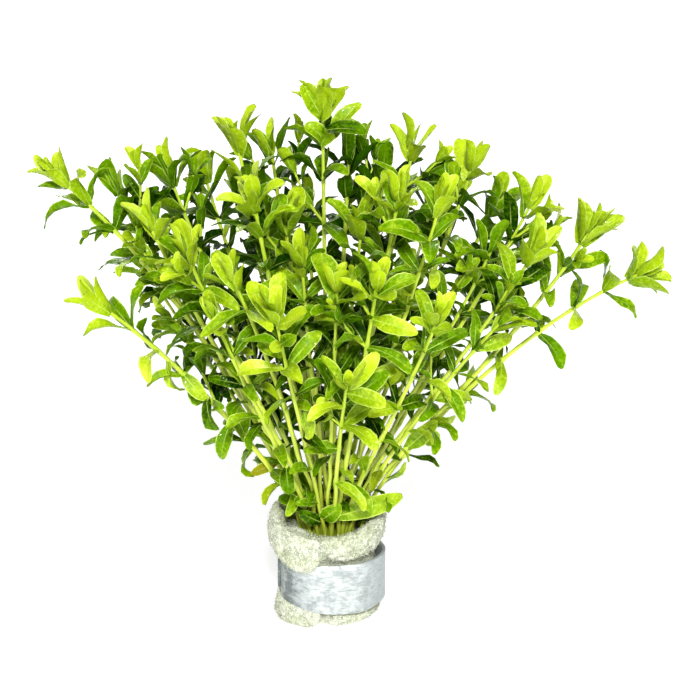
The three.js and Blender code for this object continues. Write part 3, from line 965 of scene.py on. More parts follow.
@dataclass
class Foliage:
    """Leaves past what the solids can hold: fuller whorls, side twigs, low leaves and buds."""

    holder: Holder = field(default_factory=Holder)
    # The share of leaves that get one crosswise, by pairs from the tip down.
    whorl_shares: tuple[float, ...] = (0.2, 0.55, 0.85, 0.85, 0.6, 0.35, 0.2)
    whorl_turn: float = 0.45
    whorl_sizes: tuple[float, float] = (0.8, 1.08)
    line_step: float = 2 * MM
    # How far new leaves stand from what is there, and the least shares of it for the roomiest
    # way of a leaf and for a twig's most crowded leaf.
    room: float = 1.6 * MM
    least_room: float = 0.45
    least_twig_room: float = 0.3
    tries: int = 7
    # Whorls that stand forward over bare stalks by more than this are left out, and leaves that
    # hang out of the bunch by more than this.
    forward: float = 1.5 * MM
    droop: float = 2 * MM
    slenderness: float = 0.36
    # The spans that a pair's differences are drawn from.
    angles: tuple[float, float] = (0.7, 1.3)
    lengths: tuple[float, float] = (0.82, 1.16)
    breadths: tuple[float, float] = (0.9, 1.15)
    bends: tuple[float, float] = (-0.2, 0.25)
    bud: PairHabit = PairHabit(15 * DEGREE, 5.6 * MM, -0.1, 0)
    # How far below the growing tip its bud starts, in millimetres.
    bud_depth: float = 0.6
    twig_share: float = 0.7
    front_twigs: float = 0.2
    twig_pairs: tuple[int, ...] = (1, 2, 2, 3, 4)
    twig_levels: tuple[int, int] = (2, 6)
    # In front of this and below this, the real stalks show bare and carry few twigs.
    twig_front: float = -4 * MM
    twig_height: float = 82 * MM
    # Past this, at both ends of the fan, the arms stand alone.
    twig_reach: float = 52 * MM
    twig_step: float = 4.8 * MM
    twig_steps: tuple[float, float] = (0.8, 1.15)
    twig_lean: float = 38 * DEGREE
    twig_twist: float = 0.3
    # A twig turns towards its stem's direction and towards the light by these at each joint.
    twig_turn: tuple[float, float] = (0.2, 0.08)
    # The factors on a twig leaf's opening, length and bend, and their loss at the twig's tip.
    twig_closing: tuple[tuple[float, float], ...] = ((1.15, 0.55), (1.1, 0.25), (1.2, 1.0))
    twig_leaf: PairHabit = PairHabit(48 * DEGREE, 7.6 * MM, 0.5, 2)
    twig_bud: float = 4.8 * MM
    low_share: float = 0.26
    low_spacing: float = 11.0 * MM
    low_steps: tuple[float, float] = (0.8, 1.2)
    low_height: float = 23 * MM
    low_level: int = 9
    low_turn: float = 0.8
    low_sizes: tuple[float, float] = (0.6, 1.0)
    lone_leaves: tuple[LoneLeaf, ...] = (
        # Over the foam's rim, on the right and on the left.
        LoneLeaf((-4.4, -11.2, 28.1), (12.7, -11.2, 33.0), (0.1, -0.8, 0.6), 5.6, 0.3),
        LoneLeaf((-10.7, -10.8, 29.0), (-18.3, -8.2, 30.4), (-0.2, -0.5, 0.85), 3.6, 0.9),
        # In the foam's mouth.
        LoneLeaf((-7.3, -10.5, 27.1), (-2.3, -13.0, 32.2), (0.2, -0.8, 0.6), 4.2, 0.5),
        LoneLeaf((-7.3, -10.3, 26.2), (-12.6, -12.3, 30.0), (-0.2, -0.8, 0.6), 3.8, 0.6),
        LoneLeaf((0.8, -8.4, 26.3), (5.5, -10.4, 30.5), (-0.3, -0.8, 0.5), 4.0, 0.4),
        # Along the underside of the low arm on the left, and hanging from it.
        LoneLeaf((-43.3, -15.3, 70.7), (-40.3, -16.3, 61.9), (-0.7, -0.6, 0.2), 3.8, 0.5),
        LoneLeaf((-38.8, -14.1, 65.5), (-36.2, -15.1, 56.8), (-0.6, -0.7, 0.1), 4.2, 0.4),
        LoneLeaf((-34.4, -13.0, 60.2), (-32.1, -14.0, 51.7), (-0.7, -0.5, 0.3), 3.8, 0.6),
        LoneLeaf((-29.0, -11.5, 53.2), (-31.4, -13.5, 44.3), (-0.2, -1.0, 0.2), 4.4, 0.8),
        LoneLeaf((-23.8, -10.1, 46.0), (-27.8, -11.1, 37.2), (-0.4, -0.7, 0.6), 3.2, 1.3),
        # Standing over the same arm.
        LoneLeaf((-25.5, -10.6, 48.4), (-29.8, -14.6, 59.7), (0.3, -0.9, 0.3), 5.6, 0.4),
        LoneLeaf((-40.1, -14.5, 67.0), (-34.2, -18.5, 62.2), (0.2, -0.8, 0.6), 4.8, 0.4),
        LoneLeaf((-15.6, -15.2, 43.3), (-15.0, -18.2, 37.0), (0.1, -0.9, 0.3), 4.2, 0.6),
        # Along the arms on the right.
        LoneLeaf((22.3, -10.9, 56.9), (27.7, -12.9, 59.5), (-0.1, -0.9, -0.4), 4.0, 0.4),
        LoneLeaf((19.2, -10.4, 53.0), (25.0, -11.4, 53.8), (0.2, -0.8, -0.5), 4.4, 0.5),
        LoneLeaf((16.1, -9.8, 49.2), (21.3, -10.8, 48.9), (0.3, -0.9, 0.1), 4.0, 0.7),
        LoneLeaf((13.1, -9.2, 45.3), (19.6, -14.2, 53.9), (-0.3, -0.9, 0.2), 5.4, 0.3),
        LoneLeaf((12.3, -7.6, 42.4), (7.1, -11.6, 46.1), (0.1, -0.9, 0.4), 3.8, 0.6),
        LoneLeaf((7.4, -6.7, 35.0), (13.4, -8.7, 41.2), (0.6, -0.7, 0.1), 3.6, 0.4),
        # In the highest bud, and under it.
        LoneLeaf((-6.7, -2.8, 125.0), (-10.4, -5.4, 134.0), (0.5, -0.8, 0.3), 4.8, 0.2, 1),
        LoneLeaf((-6.7, -2.8, 125.2), (-2.8, -4.8, 133.8), (-0.4, 0.8, 0.3), 4.4, 0.3, 1),
        LoneLeaf((-6.7, -2.8, 125.2), (-6.4, 1.2, 133.3), (0.0, -0.9, 0.3), 4.4, 0.3, 1),
        LoneLeaf((-6.7, -2.9, 122.6), (3.4, -5.6, 122.6), (0.0, -0.6, 0.8), 3.6, 0.9, 1),
        LoneLeaf((-6.7, -2.9, 119.2), (-11.2, -6.2, 125.0), (0.4, -0.7, 0.5), 3.6, 0.7, 1),
    )

    def add(self, stems: list[StemLine]) -> int:
        """Adds leaves to every stem, where they find room.

        Args:
            stems: The stems, whose leaf lists grow.

        Returns:
            How many leaves were added.
        """
        before = sum(len(stem.leaves) for stem in stems)
        self._taken = [p for s in stems for leaf in s.leaves for p in (leaf.middle, leaf.tip)]
        self._low = Vector(tuple(map(min, zip(*self._taken))))
        self._high = Vector(tuple(map(max, zip(*self._taken))))
        lines = (smooth_line(stem.points, self.line_step)[0] for stem in stems)
        self._taken += [Vector(point) for line in lines for point in line]
        self._tree = search_tree(self._taken)
        self._add_lone_leaves(stems)
        for number, stem in enumerate(stems):
            draw = draws("leaves", number)
            new = self._bud(stem, draw) + self._fill_whorls(stem, draw)
            self._keep(stem, new + self._low_leaves(stem, draw))
        for number, stem in enumerate(stems):
            self._grow_twigs(stem, draws("twigs", number))
        return sum(len(stem.leaves) for stem in stems) - before

    def _keep(self, stem: StemLine, new: list[LeafPlace]) -> None:
        """Puts new leaves on a stem and takes up their room.

        Args:
            stem: The stem.
            new: The leaves.
        """
        stem.leaves += new
        self._taken += [p for leaf in new for p in (leaf.middle, leaf.tip)]
        self._tree = search_tree(self._taken)

    def _gap(self, leaf: LeafPlace) -> float:
        """Gives how far a leaf's middle and tip are from what is there, or -1 for no room.

        Args:
            leaf: The leaf.

        Returns:
            The distance of the nearer of the two.
        """
        inside = all(a <= p <= b for a, p, b in zip(self._low, leaf.tip, self._high))
        clear = self.holder.is_clear(leaf.middle) and self.holder.is_clear(leaf.tip)
        if not (inside and clear):
            return -1.0
        return min(self._tree.find(leaf.middle)[2], self._tree.find(leaf.tip)[2])

    def _roomiest(self, ways: list[LeafPlace]) -> LeafPlace | None:
        """Picks the first way with enough room, or else the roomiest that isn't crowded.

        Args:
            ways: Ways for a leaf to grow.

        Returns:
            One of them, or None where all are crowded.
        """
        best, widest = None, self.room * self.least_room
        for way in ways:
            gap = self._gap(way)
            if gap > self.room:
                return way
            if gap > widest:
                best, widest = way, gap
        return best

    def _add_lone_leaves(self, stems: list[StemLine]) -> None:
        """Grows the single leaves from the stems that pass nearest to their feet.

        Args:
            stems: The stems.
        """
        lines = [(stem, Vector(p)) for stem in stems for p in smooth_line(stem.points, MM)[0]]
        for lone in self.lone_leaves:
            wanted, tip = Vector(lone.foot) * MM, Vector(lone.tip) * MM
            stem, foot = min(lines, key=lambda entry: (entry[1] - wanted).length)
            chord = tip - foot
            across = chord.cross(Vector(lone.faces)).normalized()
            face = across.cross(chord).normalized()
            leaf = LeafPlace(foot, tip, across, face, lone.width * MM, lone.bend, 0, lone.level)
            self._keep(stem, [leaf])

    def _fill_whorls(self, stem: StemLine, draw: random.Random) -> list[LeafPlace]:
        """Gives pairs a second one crosswise, so that most upper joints carry four leaves.

        Args:
            stem: The stem.
            draw: Where the differences come from.

        Returns:
            The new leaves.
        """
        found = []
        for leaf in stem.leaves:
            share = self.whorl_shares[min(leaf.level, len(self.whorl_shares) - 1)]
            if draw.random() > share:
                continue
            centre = Vector(stem.points[leaf.joint])
            axis = (Vector(stem.points[leaf.joint + 1]) - centre).normalized()
            ways = []
            for _ in range(self.tries):
                turn = math.pi / 2 + draw.uniform(-self.whorl_turn, self.whorl_turn)
                ways.append(leaf.turned(centre, axis, turn, draw.uniform(*self.whorl_sizes)))
            way = self._roomiest(ways)
            if way and not self._hides_stalks(way) and not self._droops(way):
                found.append(way)
        return found

    def _hides_stalks(self, leaf: LeafPlace) -> bool:
        """Tells whether a leaf would stand out in front, over the bare lower stalks."""
        low = leaf.foot.z < self.twig_height and leaf.foot.y < self.twig_front
        return low and leaf.tip.y < leaf.foot.y - self.forward

    def _droops(self, leaf: LeafPlace) -> bool:
        """Tells whether a leaf would hang out of the bunch, which only few real ones do."""
        return abs(leaf.tip.x) > abs(leaf.foot.x) and leaf.tip.z < leaf.foot.z - self.droop

    def _pair(
        self, foot: Vector, axis: Vector, side: Vector, habit: PairHabit, draw: random.Random
    ) -> list[LeafPlace]:
        """Makes two leaves that stand on either side of an axis.

        Args:
            foot: Where they grow from.
            axis: The direction of their stalk.
            side: The direction across the stalk that one of them leans to.
            habit: How they stand.
            draw: Where their differences come from.

        Returns:
            The two leaves.
        """
        found = []
        for out in (side, -side):
            angle = habit.opening * draw.uniform(*self.angles)
            heading = axis * math.cos(angle) + out * math.sin(angle)
            across = axis.cross(out)
            face = across.cross(heading)
            if face.dot(out) > 0:
                across, face = -across, -face
            reach = habit.length * draw.uniform(*self.lengths)
            width = reach * self.slenderness * draw.uniform(*self.breadths)
            bend = habit.bend + draw.uniform(*self.bends)
            tip = foot + heading * reach
            found.append(LeafPlace(foot, tip, across, face, width, bend, 0, habit.level))
        return found

    def _bud(self, stem: StemLine, draw: random.Random) -> list[LeafPlace]:
        """Closes the growing tip with two upright leaves.

        Args:
            stem: The stem.
            draw: Where their turn comes from.

        Returns:
            The two leaves.
        """
        tip = Vector(stem.points[-1])
        axis = (tip - Vector(stem.points[-2])).normalized()
        side = axis.orthogonal().normalized()
        side.rotate(Matrix.Rotation(draw.uniform(0, math.pi), 3, axis))
        return self._pair(tip - axis * self.bud_depth * MM, axis, side, self.bud, draw)

    def _grow_twigs(self, stem: StemLine, draw: random.Random) -> None:
        """Grows side twigs out of the joints where there is room for them.

        Args:
            stem: The stem.
            draw: Where chance and differences come from.
        """
        first, last = self.twig_levels
        joints = {leaf.joint for leaf in stem.leaves if leaf.joint and first <= leaf.level <= last}
        for joint in sorted(joints):
            _x, y, z = stem.points[joint]
            in_front = y < self.twig_front and z < self.twig_height
            share = self.twig_share * self.front_twigs if in_front else self.twig_share
            if draw.random() > share:
                continue
            for _ in range(self.tries):
                line, leaves = self._twig(stem, joint, draw)
                if abs(line[-1][0]) > self.twig_reach:
                    continue
                gaps = sorted(self._gap(leaf) for leaf in leaves)
                least = self.room * self.least_twig_room
                if gaps[0] > least and gaps[len(gaps) // 2] > self.room:
                    stem.twigs.append(line)
                    self._taken += [Vector(p) for p in line[1:]]
                    self._keep(stem, leaves)
                    break

    def _twig(
        self, stem: StemLine, joint: int, draw: random.Random
    ) -> tuple[np.ndarray, list[LeafPlace]]:
        """Makes a twig that leans out of a joint and turns up again.

        Args:
            stem: The stem that it grows on.
            joint: The number of the stem's point that it starts at.
            draw: Where its size and direction come from.

        Returns:
            Its line's points, and its leaves.
        """
        foot = Vector(stem.points[joint])
        axis = (Vector(stem.points[joint + 1]) - foot).normalized()
        side = axis.orthogonal().normalized()
        side.rotate(Matrix.Rotation(draw.uniform(0, 2 * math.pi), 3, axis))
        lean = self.twig_lean * draw.uniform(*self.angles)
        heading = axis * math.cos(lean) + side * math.sin(lean)
        step = self.twig_step * draw.uniform(*self.twig_steps)
        line = [foot]
        leaves: list[LeafPlace] = []
        count = draw.choice(self.twig_pairs)
        along, up = self.twig_turn
        for k in range(count):
            line.append(line[-1] + heading * step)
            side = (side - heading * side.dot(heading)).normalized()
            turn = math.pi / 2 + draw.uniform(-self.twig_twist, self.twig_twist)
            side.rotate(Matrix.Rotation(turn, 3, heading))
            closed = (k + 1) / count
            opening, length, bend = (first - loss * closed for first, loss in self.twig_closing)
            habit = PairHabit(
                self.twig_leaf.opening * opening,
                self.twig_leaf.length * length,
                self.twig_leaf.bend * bend,
                count - 1 - k,
            )
            leaves += self._pair(line[-1], heading, side, habit, draw)
            heading = (heading + axis * along + Vector((0, 0, up))).normalized()
        side = heading.cross(side).normalized()
        bud = replace(self.bud, length=self.twig_bud)
        leaves += self._pair(line[-1], heading, side, bud, draw)
        return np.array(line), leaves

    def _low_leaves(self, stem: StemLine, draw: random.Random) -> list[LeafPlace]:
        """Adds older leaves on the stalk below its lowest joint.

        Args:
            stem: The stem.
            draw: Where chance and differences come from.

        Returns:
            The new leaves.
        """
        lowest = min((leaf for leaf in stem.leaves if leaf.joint), key=lambda leaf: leaf.joint)
        pattern = [leaf for leaf in stem.leaves if leaf.joint == lowest.joint]
        line, along, knots = smooth_line(stem.points, 1 * MM)
        found = []
        at = knots[lowest.joint]
        while True:
            at -= self.low_spacing * draw.uniform(*self.low_steps)
            i = int(np.searchsorted(along, max(at, 0)))
            if at <= 0 or line[i][2] < self.low_height:
                return found
            centre = Vector(line[i])
            axis = (Vector(line[i + 1]) - centre).normalized()
            move = centre - Vector(stem.points[lowest.joint])
            for leaf in pattern:
                foot, tip = leaf.foot + move, leaf.tip + move
                moved = replace(leaf, foot=foot, tip=tip, level=self.low_level)
                for first in (0.0, math.pi / 2):
                    span = (-self.low_turn, self.low_turn)
                    turns = [first + draw.uniform(*span) for _ in range(self.tries)]
                    size = draw.uniform(*self.low_sizes)
                    way = self._roomiest([moved.turned(centre, axis, turn, size) for turn in turns])
                    if way and draw.random() < self.low_share and not self._droops(way):
                        found.append(way)


class LeafForm(Enum):
    """How a leaf holds itself: cupped in a growing tip, or spread and wavy lower down."""

    CUPPED = 0
    SPREAD = 1


@dataclass(frozen=True)
class LeafPose:
    """How one blade is bent, folded, twisted, waved and curled, for a leaf 1 long."""

    bend: float
    fold: float
    twist: float
    wave: float
    curl: float
    lean: float
    phases: tuple[float, float]
    waves: float


@dataclass(frozen=True)
class LeafShape:
    """Unit leaves of a few bends and forms, a few dozen faces each, 1 long from foot to tip."""

    bends: tuple[float, ...] = (-0.45, -0.1, 0.25, 0.6, 0.95, 1.3)
    variants: int = 3
    # The spans of fold, twist, wave and curl that each form's leaves are drawn from.
    habits: tuple[tuple[tuple[float, float], ...], ...] = (
        ((0.35, 0.75), (-0.3, 0.3), (0.01, 0.035), (-0.03, 0.08)),
        ((0.1, 0.85), (-0.75, 0.75), (0.02, 0.055), (-0.04, 0.16)),
    )
    lean: float = 0.06
    waves: tuple[float, float] = (1.0, 1.7)
    # Share of the length, share of the full width in each form, and the sides' lag at the tip.
    rows: tuple[tuple[float, tuple[float, float], float], ...] = (
        (0.0, (0.42, 0.36), 0.0),
        (0.12, (0.54, 0.54), 0.0),
        (0.28, (0.78, 0.82), 0.0),
        (0.46, (0.96, 1.0), 0.0),
        (0.65, (1.0, 0.95), 0.005),
        (0.82, (0.91, 0.82), 0.01),
        (0.94, (0.66, 0.54), 0.01),
        (1.0, (0.3, 0.22), 0.0),
    )
    columns: tuple[float, ...] = (-1.0, -0.52, 0.0, 0.52, 1.0)
    slenderness: float = 0.38
    # Half the blade's thickness is the first of these times what the second has over the place
    # along the blade.
    thickness: float = 0.011
    thinning: float = 1.35
    # Where along the blade it isn't twisted, where its fold opens and starts to close again,
    # and where its tip curls.
    straight: float = 0.35
    opening: tuple[float, float] = (0.1, 0.5)
    closing: tuple[float, float] = (0.75, 1.0)
    curling: tuple[float, float] = (0.6, 1.0)

    def index(self, form: LeafForm, bend: float, variant: int) -> int:
        """Gives the number of the unit leaf nearest to a bend, in a form and variant."""
        nearest = min(range(len(self.bends)), key=lambda i: abs(self.bends[i] - bend))
        return (form.value * len(self.bends) + nearest) * self.variants + variant % self.variants

    def collection(self) -> bpy.types.Collection:
        """Makes every unit leaf.

        Returns:
            A collection of them, outside the scene, named in the order of their numbers.
        """
        made = bpy.data.collections.new("unit_leaves")
        for form in LeafForm:
            for bend in self.bends:
                for variant in range(self.variants):
                    number = self.index(form, bend, variant)
                    mesh = self._unit(form, self._pose(form, bend, draws("unit leaf", number)))
                    made.objects.link(bpy.data.objects.new(f"unit_leaf_{number:02d}", mesh))
        return made

    def _pose(self, form: LeafForm, bend: float, draw: random.Random) -> LeafPose:
        """Draws how one unit leaf holds itself.

        Args:
            form: The leaf's form.
            bend: How far it bends from foot to tip, in radians.
            draw: Where the differences come from.

        Returns:
            The leaf's pose.
        """
        fold, twist, wave, curl = (draw.uniform(*span) for span in self.habits[form.value])
        lean = draw.uniform(-self.lean, self.lean)
        phases = (draw.uniform(0, 2 * math.pi), draw.uniform(0, 2 * math.pi))
        return LeafPose(bend, fold, twist, wave, curl, lean, phases, draw.uniform(*self.waves))

    def _point(
        self, pose: LeafPose, column: float, half: float, t: float, off: float
    ) -> tuple[float, float, float]:
        """Works out where a point of the blade lies.

        Args:
            pose: How the blade is held.
            column: The point's place across, from -1 at one rim to 1 at the other.
            half: Its distance from the midrib, as a share of the full width.
            t: Its place along, from 0 at the foot to 1 at the tip.
            off: How far it lies over the blade's middle layer.

        Returns:
            X across the blade, Y along it and Z up from its face.
        """
        angle = pose.bend * (t - 0.5)
        radius = 0.5 / math.sin(pose.bend / 2)
        turn = pose.twist * (t - self.straight)
        fullness = 0.7 + 0.3 * abs(column)
        fullness *= smoothstep(*self.opening, t) * (1 - 0.5 * smoothstep(*self.closing, t))
        rise = abs(half) * fullness * pose.fold * self.slenderness
        rise += half * self.slenderness * math.sin(turn)
        phase = pose.phases[0] if column > 0 else pose.phases[1]
        rise += pose.wave * column * column * math.sin(pose.waves * 2 * math.pi * t + phase)
        rise -= pose.curl * smoothstep(*self.curling, t) ** 2
        x = half * math.cos(turn) + pose.lean * t * t
        y = radius * (math.sin(angle) + math.sin(pose.bend / 2)) + rise * math.sin(angle)
        z = radius * (math.cos(angle) - math.cos(pose.bend / 2)) + rise * math.cos(angle)
        return x, y + off * math.sin(angle), z + off * math.cos(angle)

    def _unit(self, form: LeafForm, pose: LeafPose) -> bpy.types.Mesh:
        """Makes one unit leaf, as a thin blade that is closed round its rim.

        Args:
            form: The leaf's form.
            pose: How it holds itself.

        Returns:
            The leaf's mesh.
        """
        verts: list[tuple[float, float, float]] = []
        places: list[tuple[float, float]] = []
        top: list[list[int]] = []
        bottom: list[list[int]] = []
        rim: set[int] = set()
        last = len(self.rows) - 1
        for r, (share, widths, lag) in enumerate(self.rows):
            top.append([])
            bottom.append([])
            for column in self.columns:
                t = share - lag * column * column
                half = column * widths[form.value] * 0.5
                depth = self.thickness * (self.thinning - t)
                edge = abs(column) == 1.0 or r in (0, last)
                layers = (0.0,) if edge else (depth, -depth)
                verts += [self._point(pose, column, half, t, off) for off in layers]
                places += [((column + 1) / 2, share)] * len(layers)
                top[r].append(len(verts) - len(layers))
                bottom[r].append(len(verts) - 1)
                if edge:
                    rim.add(len(verts) - 1)
        faces = []
        for r in range(last):
            for c in range(len(self.columns) - 1):
                faces.append((top[r][c], top[r][c + 1], top[r + 1][c + 1], top[r + 1][c]))
                a, b = bottom[r][c : c + 2], bottom[r + 1][c : c + 2]
                faces.append((a[0], b[0], b[1], a[1]))
        mesh = bpy.data.meshes.new("unit_leaf")
        mesh.from_pydata(verts, [], faces)
        # The blade is creased along its midrib, and thin and crisp at its rim.
        crease = {row[len(row) // 2] for row in top} | rim
        for edge in mesh.edges:
            edge.use_edge_sharp = set(edge.vertices) <= crease
        write_map(mesh, places)
        under = mesh.attributes.new("under", "FLOAT", "FACE")
        under.data.foreach_set("value", [0.0, 1.0] * (len(faces) // 2))
        return mesh


@dataclass(frozen=True)
class LeafTones:
    """How bright each leaf is: young leaves are paler, and those outside the crowd painted lighter.

    The tones carry painted shade inside the crowd and at the back, and painted light low at the
    front.
    """

    lowest: float = 0.05
    youth: float = 0.5
    youth_levels: int = 4
    # Leaves free of the crowd are painted lighter by this much, less for each leaf over them.
    uncrowded_light: float = 0.54
    crowd: int = 7
    chance: float = 0.28
    # Leaves paint shade on one they stand over, seen from this share of its height on the axis.
    heart: float = 0.55
    shade_reach: float = 20 * MM
    shade_start: float = 3 * MM
    shade_radius: float = 9 * MM
    # Leaves towards the back are painted with shade, the outermost ones there less.
    painted_back_shade: float = 0.5
    painted_back_shade_depths: tuple[float, float] = (-8 * MM, 20 * MM)
    outermost: tuple[float, float] = (26 * MM, 42 * MM)
    outermost_share: float = 0.6
    # Low leaves at the front are painted lighter, as light from the front.
    light: float = 0.06
    light_depths: tuple[float, float] = (-2 * MM, -16 * MM)
    light_heights: tuple[float, float] = (70 * MM, 90 * MM)

    def of(self, stems: list[StemLine]) -> dict[str, list[float]]:
        """Works out the tones.

        Args:
            stems: The stems.

        Returns:
            For each stem's name, a tone from 0 to 1 for each leaf.
        """
        tree = search_tree([leaf.middle for stem in stems for leaf in stem.leaves])
        tones = {}
        for number, stem in enumerate(stems):
            draw = draws("tone", number)
            tones[stem.name] = [self._tone(leaf, tree, draw) for leaf in stem.leaves]
        return tones

    def _tone(self, leaf: LeafPlace, tree: kdtree.KDTree, draw: random.Random) -> float:
        """Works out one leaf's tone.

        Args:
            leaf: The leaf.
            tree: Every leaf's middle, sorted for search.
            draw: Where the differences come from.

        Returns:
            The tone, from 0 to 1.
        """
        middle = leaf.middle
        away = (middle - Vector((0, 0, middle.z * self.heart))).normalized()
        over = 0
        for other, _, _ in tree.find_range(middle, self.shade_reach):
            ahead = (other - middle).dot(away)
            beside = (other - middle - away * ahead).length
            if ahead > self.shade_start and beside < self.shade_radius:
                over += 1
        young = math.exp(-leaf.level / self.youth_levels)
        unshaded = math.exp(-over / self.crowd)
        painted_shade = self.painted_back_shade * smoothstep(*self.painted_back_shade_depths, middle.y)
        painted_shade *= 1 - self.outermost_share * smoothstep(*self.outermost, middle.y)
        lit = self.light * smoothstep(*self.light_depths, middle.y)
        lit *= 1 - smoothstep(*self.light_heights, middle.z)
        tone = self.lowest + self.youth * young + self.uncrowded_light * unshaded + lit - painted_shade
        return min(1.0, max(0.0, tone + draw.uniform(-self.chance, self.chance)))


@dataclass
class Bunch:
    """All the stems: round stalks with swollen joints, and the leaves on them."""

    leaf_shape: LeafShape
    leaf_material: bpy.types.Material
    stalk_material: bpy.types.Material
    stalk_step: float = 1.6 * MM
    stalk_sides: int = 8
    radius: float = 0.6 * MM
    tip_radius: float = 0.4 * MM
    taper: float = 36 * MM
    # The stalks' stoutness differs within this span, and they close at the growing tip.
    stoutness: tuple[float, float] = (0.76, 1.02)
    closing: float = 0.3
    swelling: float = 0.38
    swelling_length: float = 1.1 * MM
    # A twig's girth at its foot, and what it loses to its tip, as shares of the tip's radius.
    twig_girth: tuple[float, float] = (0.95, 0.35)
    twig_swelling: float = 0.25
    # Bare stalks wander between the holder and the joint where the leaves start.
    wander: float = 1.1 * MM
    wander_length: float = 11 * MM
    # How far apart in the noise the stems lie, and the three directions of one stem.
    stems_apart: float = 3.7
    ways_apart: float = 4.0
    held: tuple[float, float] = (12 * MM, 22 * MM)
    leafing: float = 8 * MM
    # The real blade's width as a share of the faceted one's.
    fullness: tuple[float, float] = (0.8, 1.1)
    loose: float = 10 * DEGREE
    roll: float = 24 * DEGREE
    bending: float = 0.2
    # Leaves above this level make up the growing tip. They are broader and stand firmer.
    tip_level: int = 2
    tip_fullness: float = 1.22
    tip_give: float = 0.6
    # Few of the old leaves low on the stalks wither.
    withered_share: float = 0.12
    withered: tuple[float, float] = (0.3, 0.9)
    withered_level: int = 4
    withered_height: float = 55 * MM

    def build(self, nodes: dict[str, bpy.types.Object]) -> list[bpy.types.Object]:
        """Grows every stem and stands it in for its node.

        Args:
            nodes: The model's nodes by name.

        Returns:
            The finished stems.
        """
        reader = StemReader()
        stems = [reader.read(node) for name, node in nodes.items() if name.startswith("stem_")]
        LOG.info("read %d stems with %d leaves", len(stems), sum(len(s.leaves) for s in stems))
        LOG.info("added %d leaves", Foliage().add(stems))
        tones = LeafTones().of(stems)
        tree = self._tree()
        shapes = self.leaf_shape.collection()
        given = {
            "Unit leaves": shapes,
            "Stalk sides": self.stalk_sides,
            "Leaf material": self.leaf_material,
            "Stalk material": self.stalk_material,
        }
        pieces = []
        for number, stem in enumerate(stems):
            seed = self._seed_mesh(stem, tones[stem.name], number)
            pieces.append(new_object(f"leafy_{stem.name}", seed))
            add_tree(pieces[-1], tree, given)
        for piece, stem in zip(pieces, stems):
            settle(piece)
            for name in ("kind", "turn", "size", "is_leaf", "girth"):
                if name in piece.data.attributes:
                    piece.data.attributes.remove(piece.data.attributes[name])
            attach(piece, BODY)
            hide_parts(stem.name)
        for shape in list(shapes.objects):
            bpy.data.objects.remove(shape)
        bpy.data.collections.remove(shapes)
        faces = sum(len(piece.data.polygons) for piece in pieces)
        LOG.info("grew %d stems, %d faces", len(pieces), faces)
        return pieces

    def _seed_mesh(self, stem: StemLine, tones: list[float], number: int) -> bpy.types.Mesh:
        """Makes the points that a stem grows from: its line's, and one for each leaf.

        Args:
            stem: The stem.
            tones: Its leaves' tones.
            number: The stem's number, for its own sequence of random draws.

        Returns:
            A mesh of edges and loose points, with what the tree reads on them.
        """
        line, edges, stalk = self._stalk(stem, number)
        leaves = self._leaves(stem, number)
        mesh = bpy.data.meshes.new(stem.name)
        feet = [tuple(leaf.foot) for leaf in stem.leaves]
        mesh.from_pydata([tuple(p) for p in line] + feet, edges, [])
        count, none, zeros = len(line), np.zeros(len(feet)), np.zeros(len(line))
        unturned = np.tile([1.0, 0.0, 0.0, 0.0], (count, 1))
        for name, kind, on_line, on_leaves in (
            ("is_leaf", "BOOLEAN", zeros.astype(bool), np.ones(len(feet), bool)),
            ("girth", "FLOAT", stalk["girth"], none),
            ("tone", "FLOAT", stalk["grown"], tones),
            ("knee", "FLOAT", stalk["knee"], none),
            ("sere", "FLOAT", zeros, leaves["sere"]),
            ("length", "FLOAT", stalk["along"], none),
            ("kind", "INT", zeros.astype(np.int32), np.array(leaves["kind"], np.int32)),
            ("turn", "QUATERNION", unturned, leaves["turn"]),
            ("size", "FLOAT_VECTOR", np.ones((count, 3)), leaves["size"]),
        ):
            write_attribute(mesh, name, kind, np.concatenate((on_line, on_leaves)))
        return mesh

    def _stalk(
        self, stem: StemLine, number: int
    ) -> tuple[np.ndarray, list[tuple[int, int]], dict[str, np.ndarray]]:
        """Works out the line of a stalk and its twigs.

        Args:
            stem: The stem.
            number: The stem's number.

        Returns:
            The line's points, its edges, and for each point its girth, how far it is grown, how
            much it belongs to a joint, and how far along it is.
        """
        line, along, knots = smooth_line(stem.points, self.stalk_step)
        lowest = knots[min(leaf.joint for leaf in stem.leaves if leaf.joint)]
        for i, at in enumerate(along):
            bare = smoothstep(*self.held, at) * smoothstep(0, self.leafing, lowest - at)
            place = Vector((number * self.stems_apart, at / self.wander_length, 0.5))
            steps = (Vector((0, 0, self.ways_apart * k)) for k in range(3))
            sway = [noise.noise(place + step) for step in steps]
            line[i] += np.array(sway) * self.wander * bare
        grown = np.clip((along[-1] - along) / self.taper, 0, 1)
        knee = self._knees(along, knots[stem.joints]) * np.clip(grown * 4, 0.2, 1)
        stout = draws("stalk", number).uniform(*self.stoutness)
        girth = self.tip_radius + (self.radius - self.tip_radius) * grown
        girth = girth * (1 + self.swelling * knee) * stout
        girth[-1] *= self.closing
        edges = [(i, i + 1) for i in range(len(line) - 1)]
        thick, loss = self.twig_girth
        for twig in stem.twigs:
            extra, reach, stops = smooth_line(twig, self.stalk_step)
            edges += [(len(line) + i, len(line) + i + 1) for i in range(len(extra) - 1)]
            bulge = self._knees(reach, stops)
            slim = self.tip_radius * (thick - loss * reach / reach[-1])
            slim = slim * (1 + self.twig_swelling * bulge)
            line, along = np.vstack((line, extra)), np.concatenate((along, reach))
            girth, knee = np.concatenate((girth, slim)), np.concatenate((knee, 0.5 * bulge))
            grown = np.concatenate((grown, np.full(len(extra), 0.2)))
        return line, edges, {"girth": girth, "grown": grown, "knee": knee, "along": along}

    def _knees(self, along: np.ndarray, joints: np.ndarray) -> np.ndarray:
        """Gives 1 at each joint of a line and less and less beside it."""
        apart = np.abs(along[:, None] - joints[None, :]).min(axis=1)
        return np.exp(-((apart / self.swelling_length) ** 2))

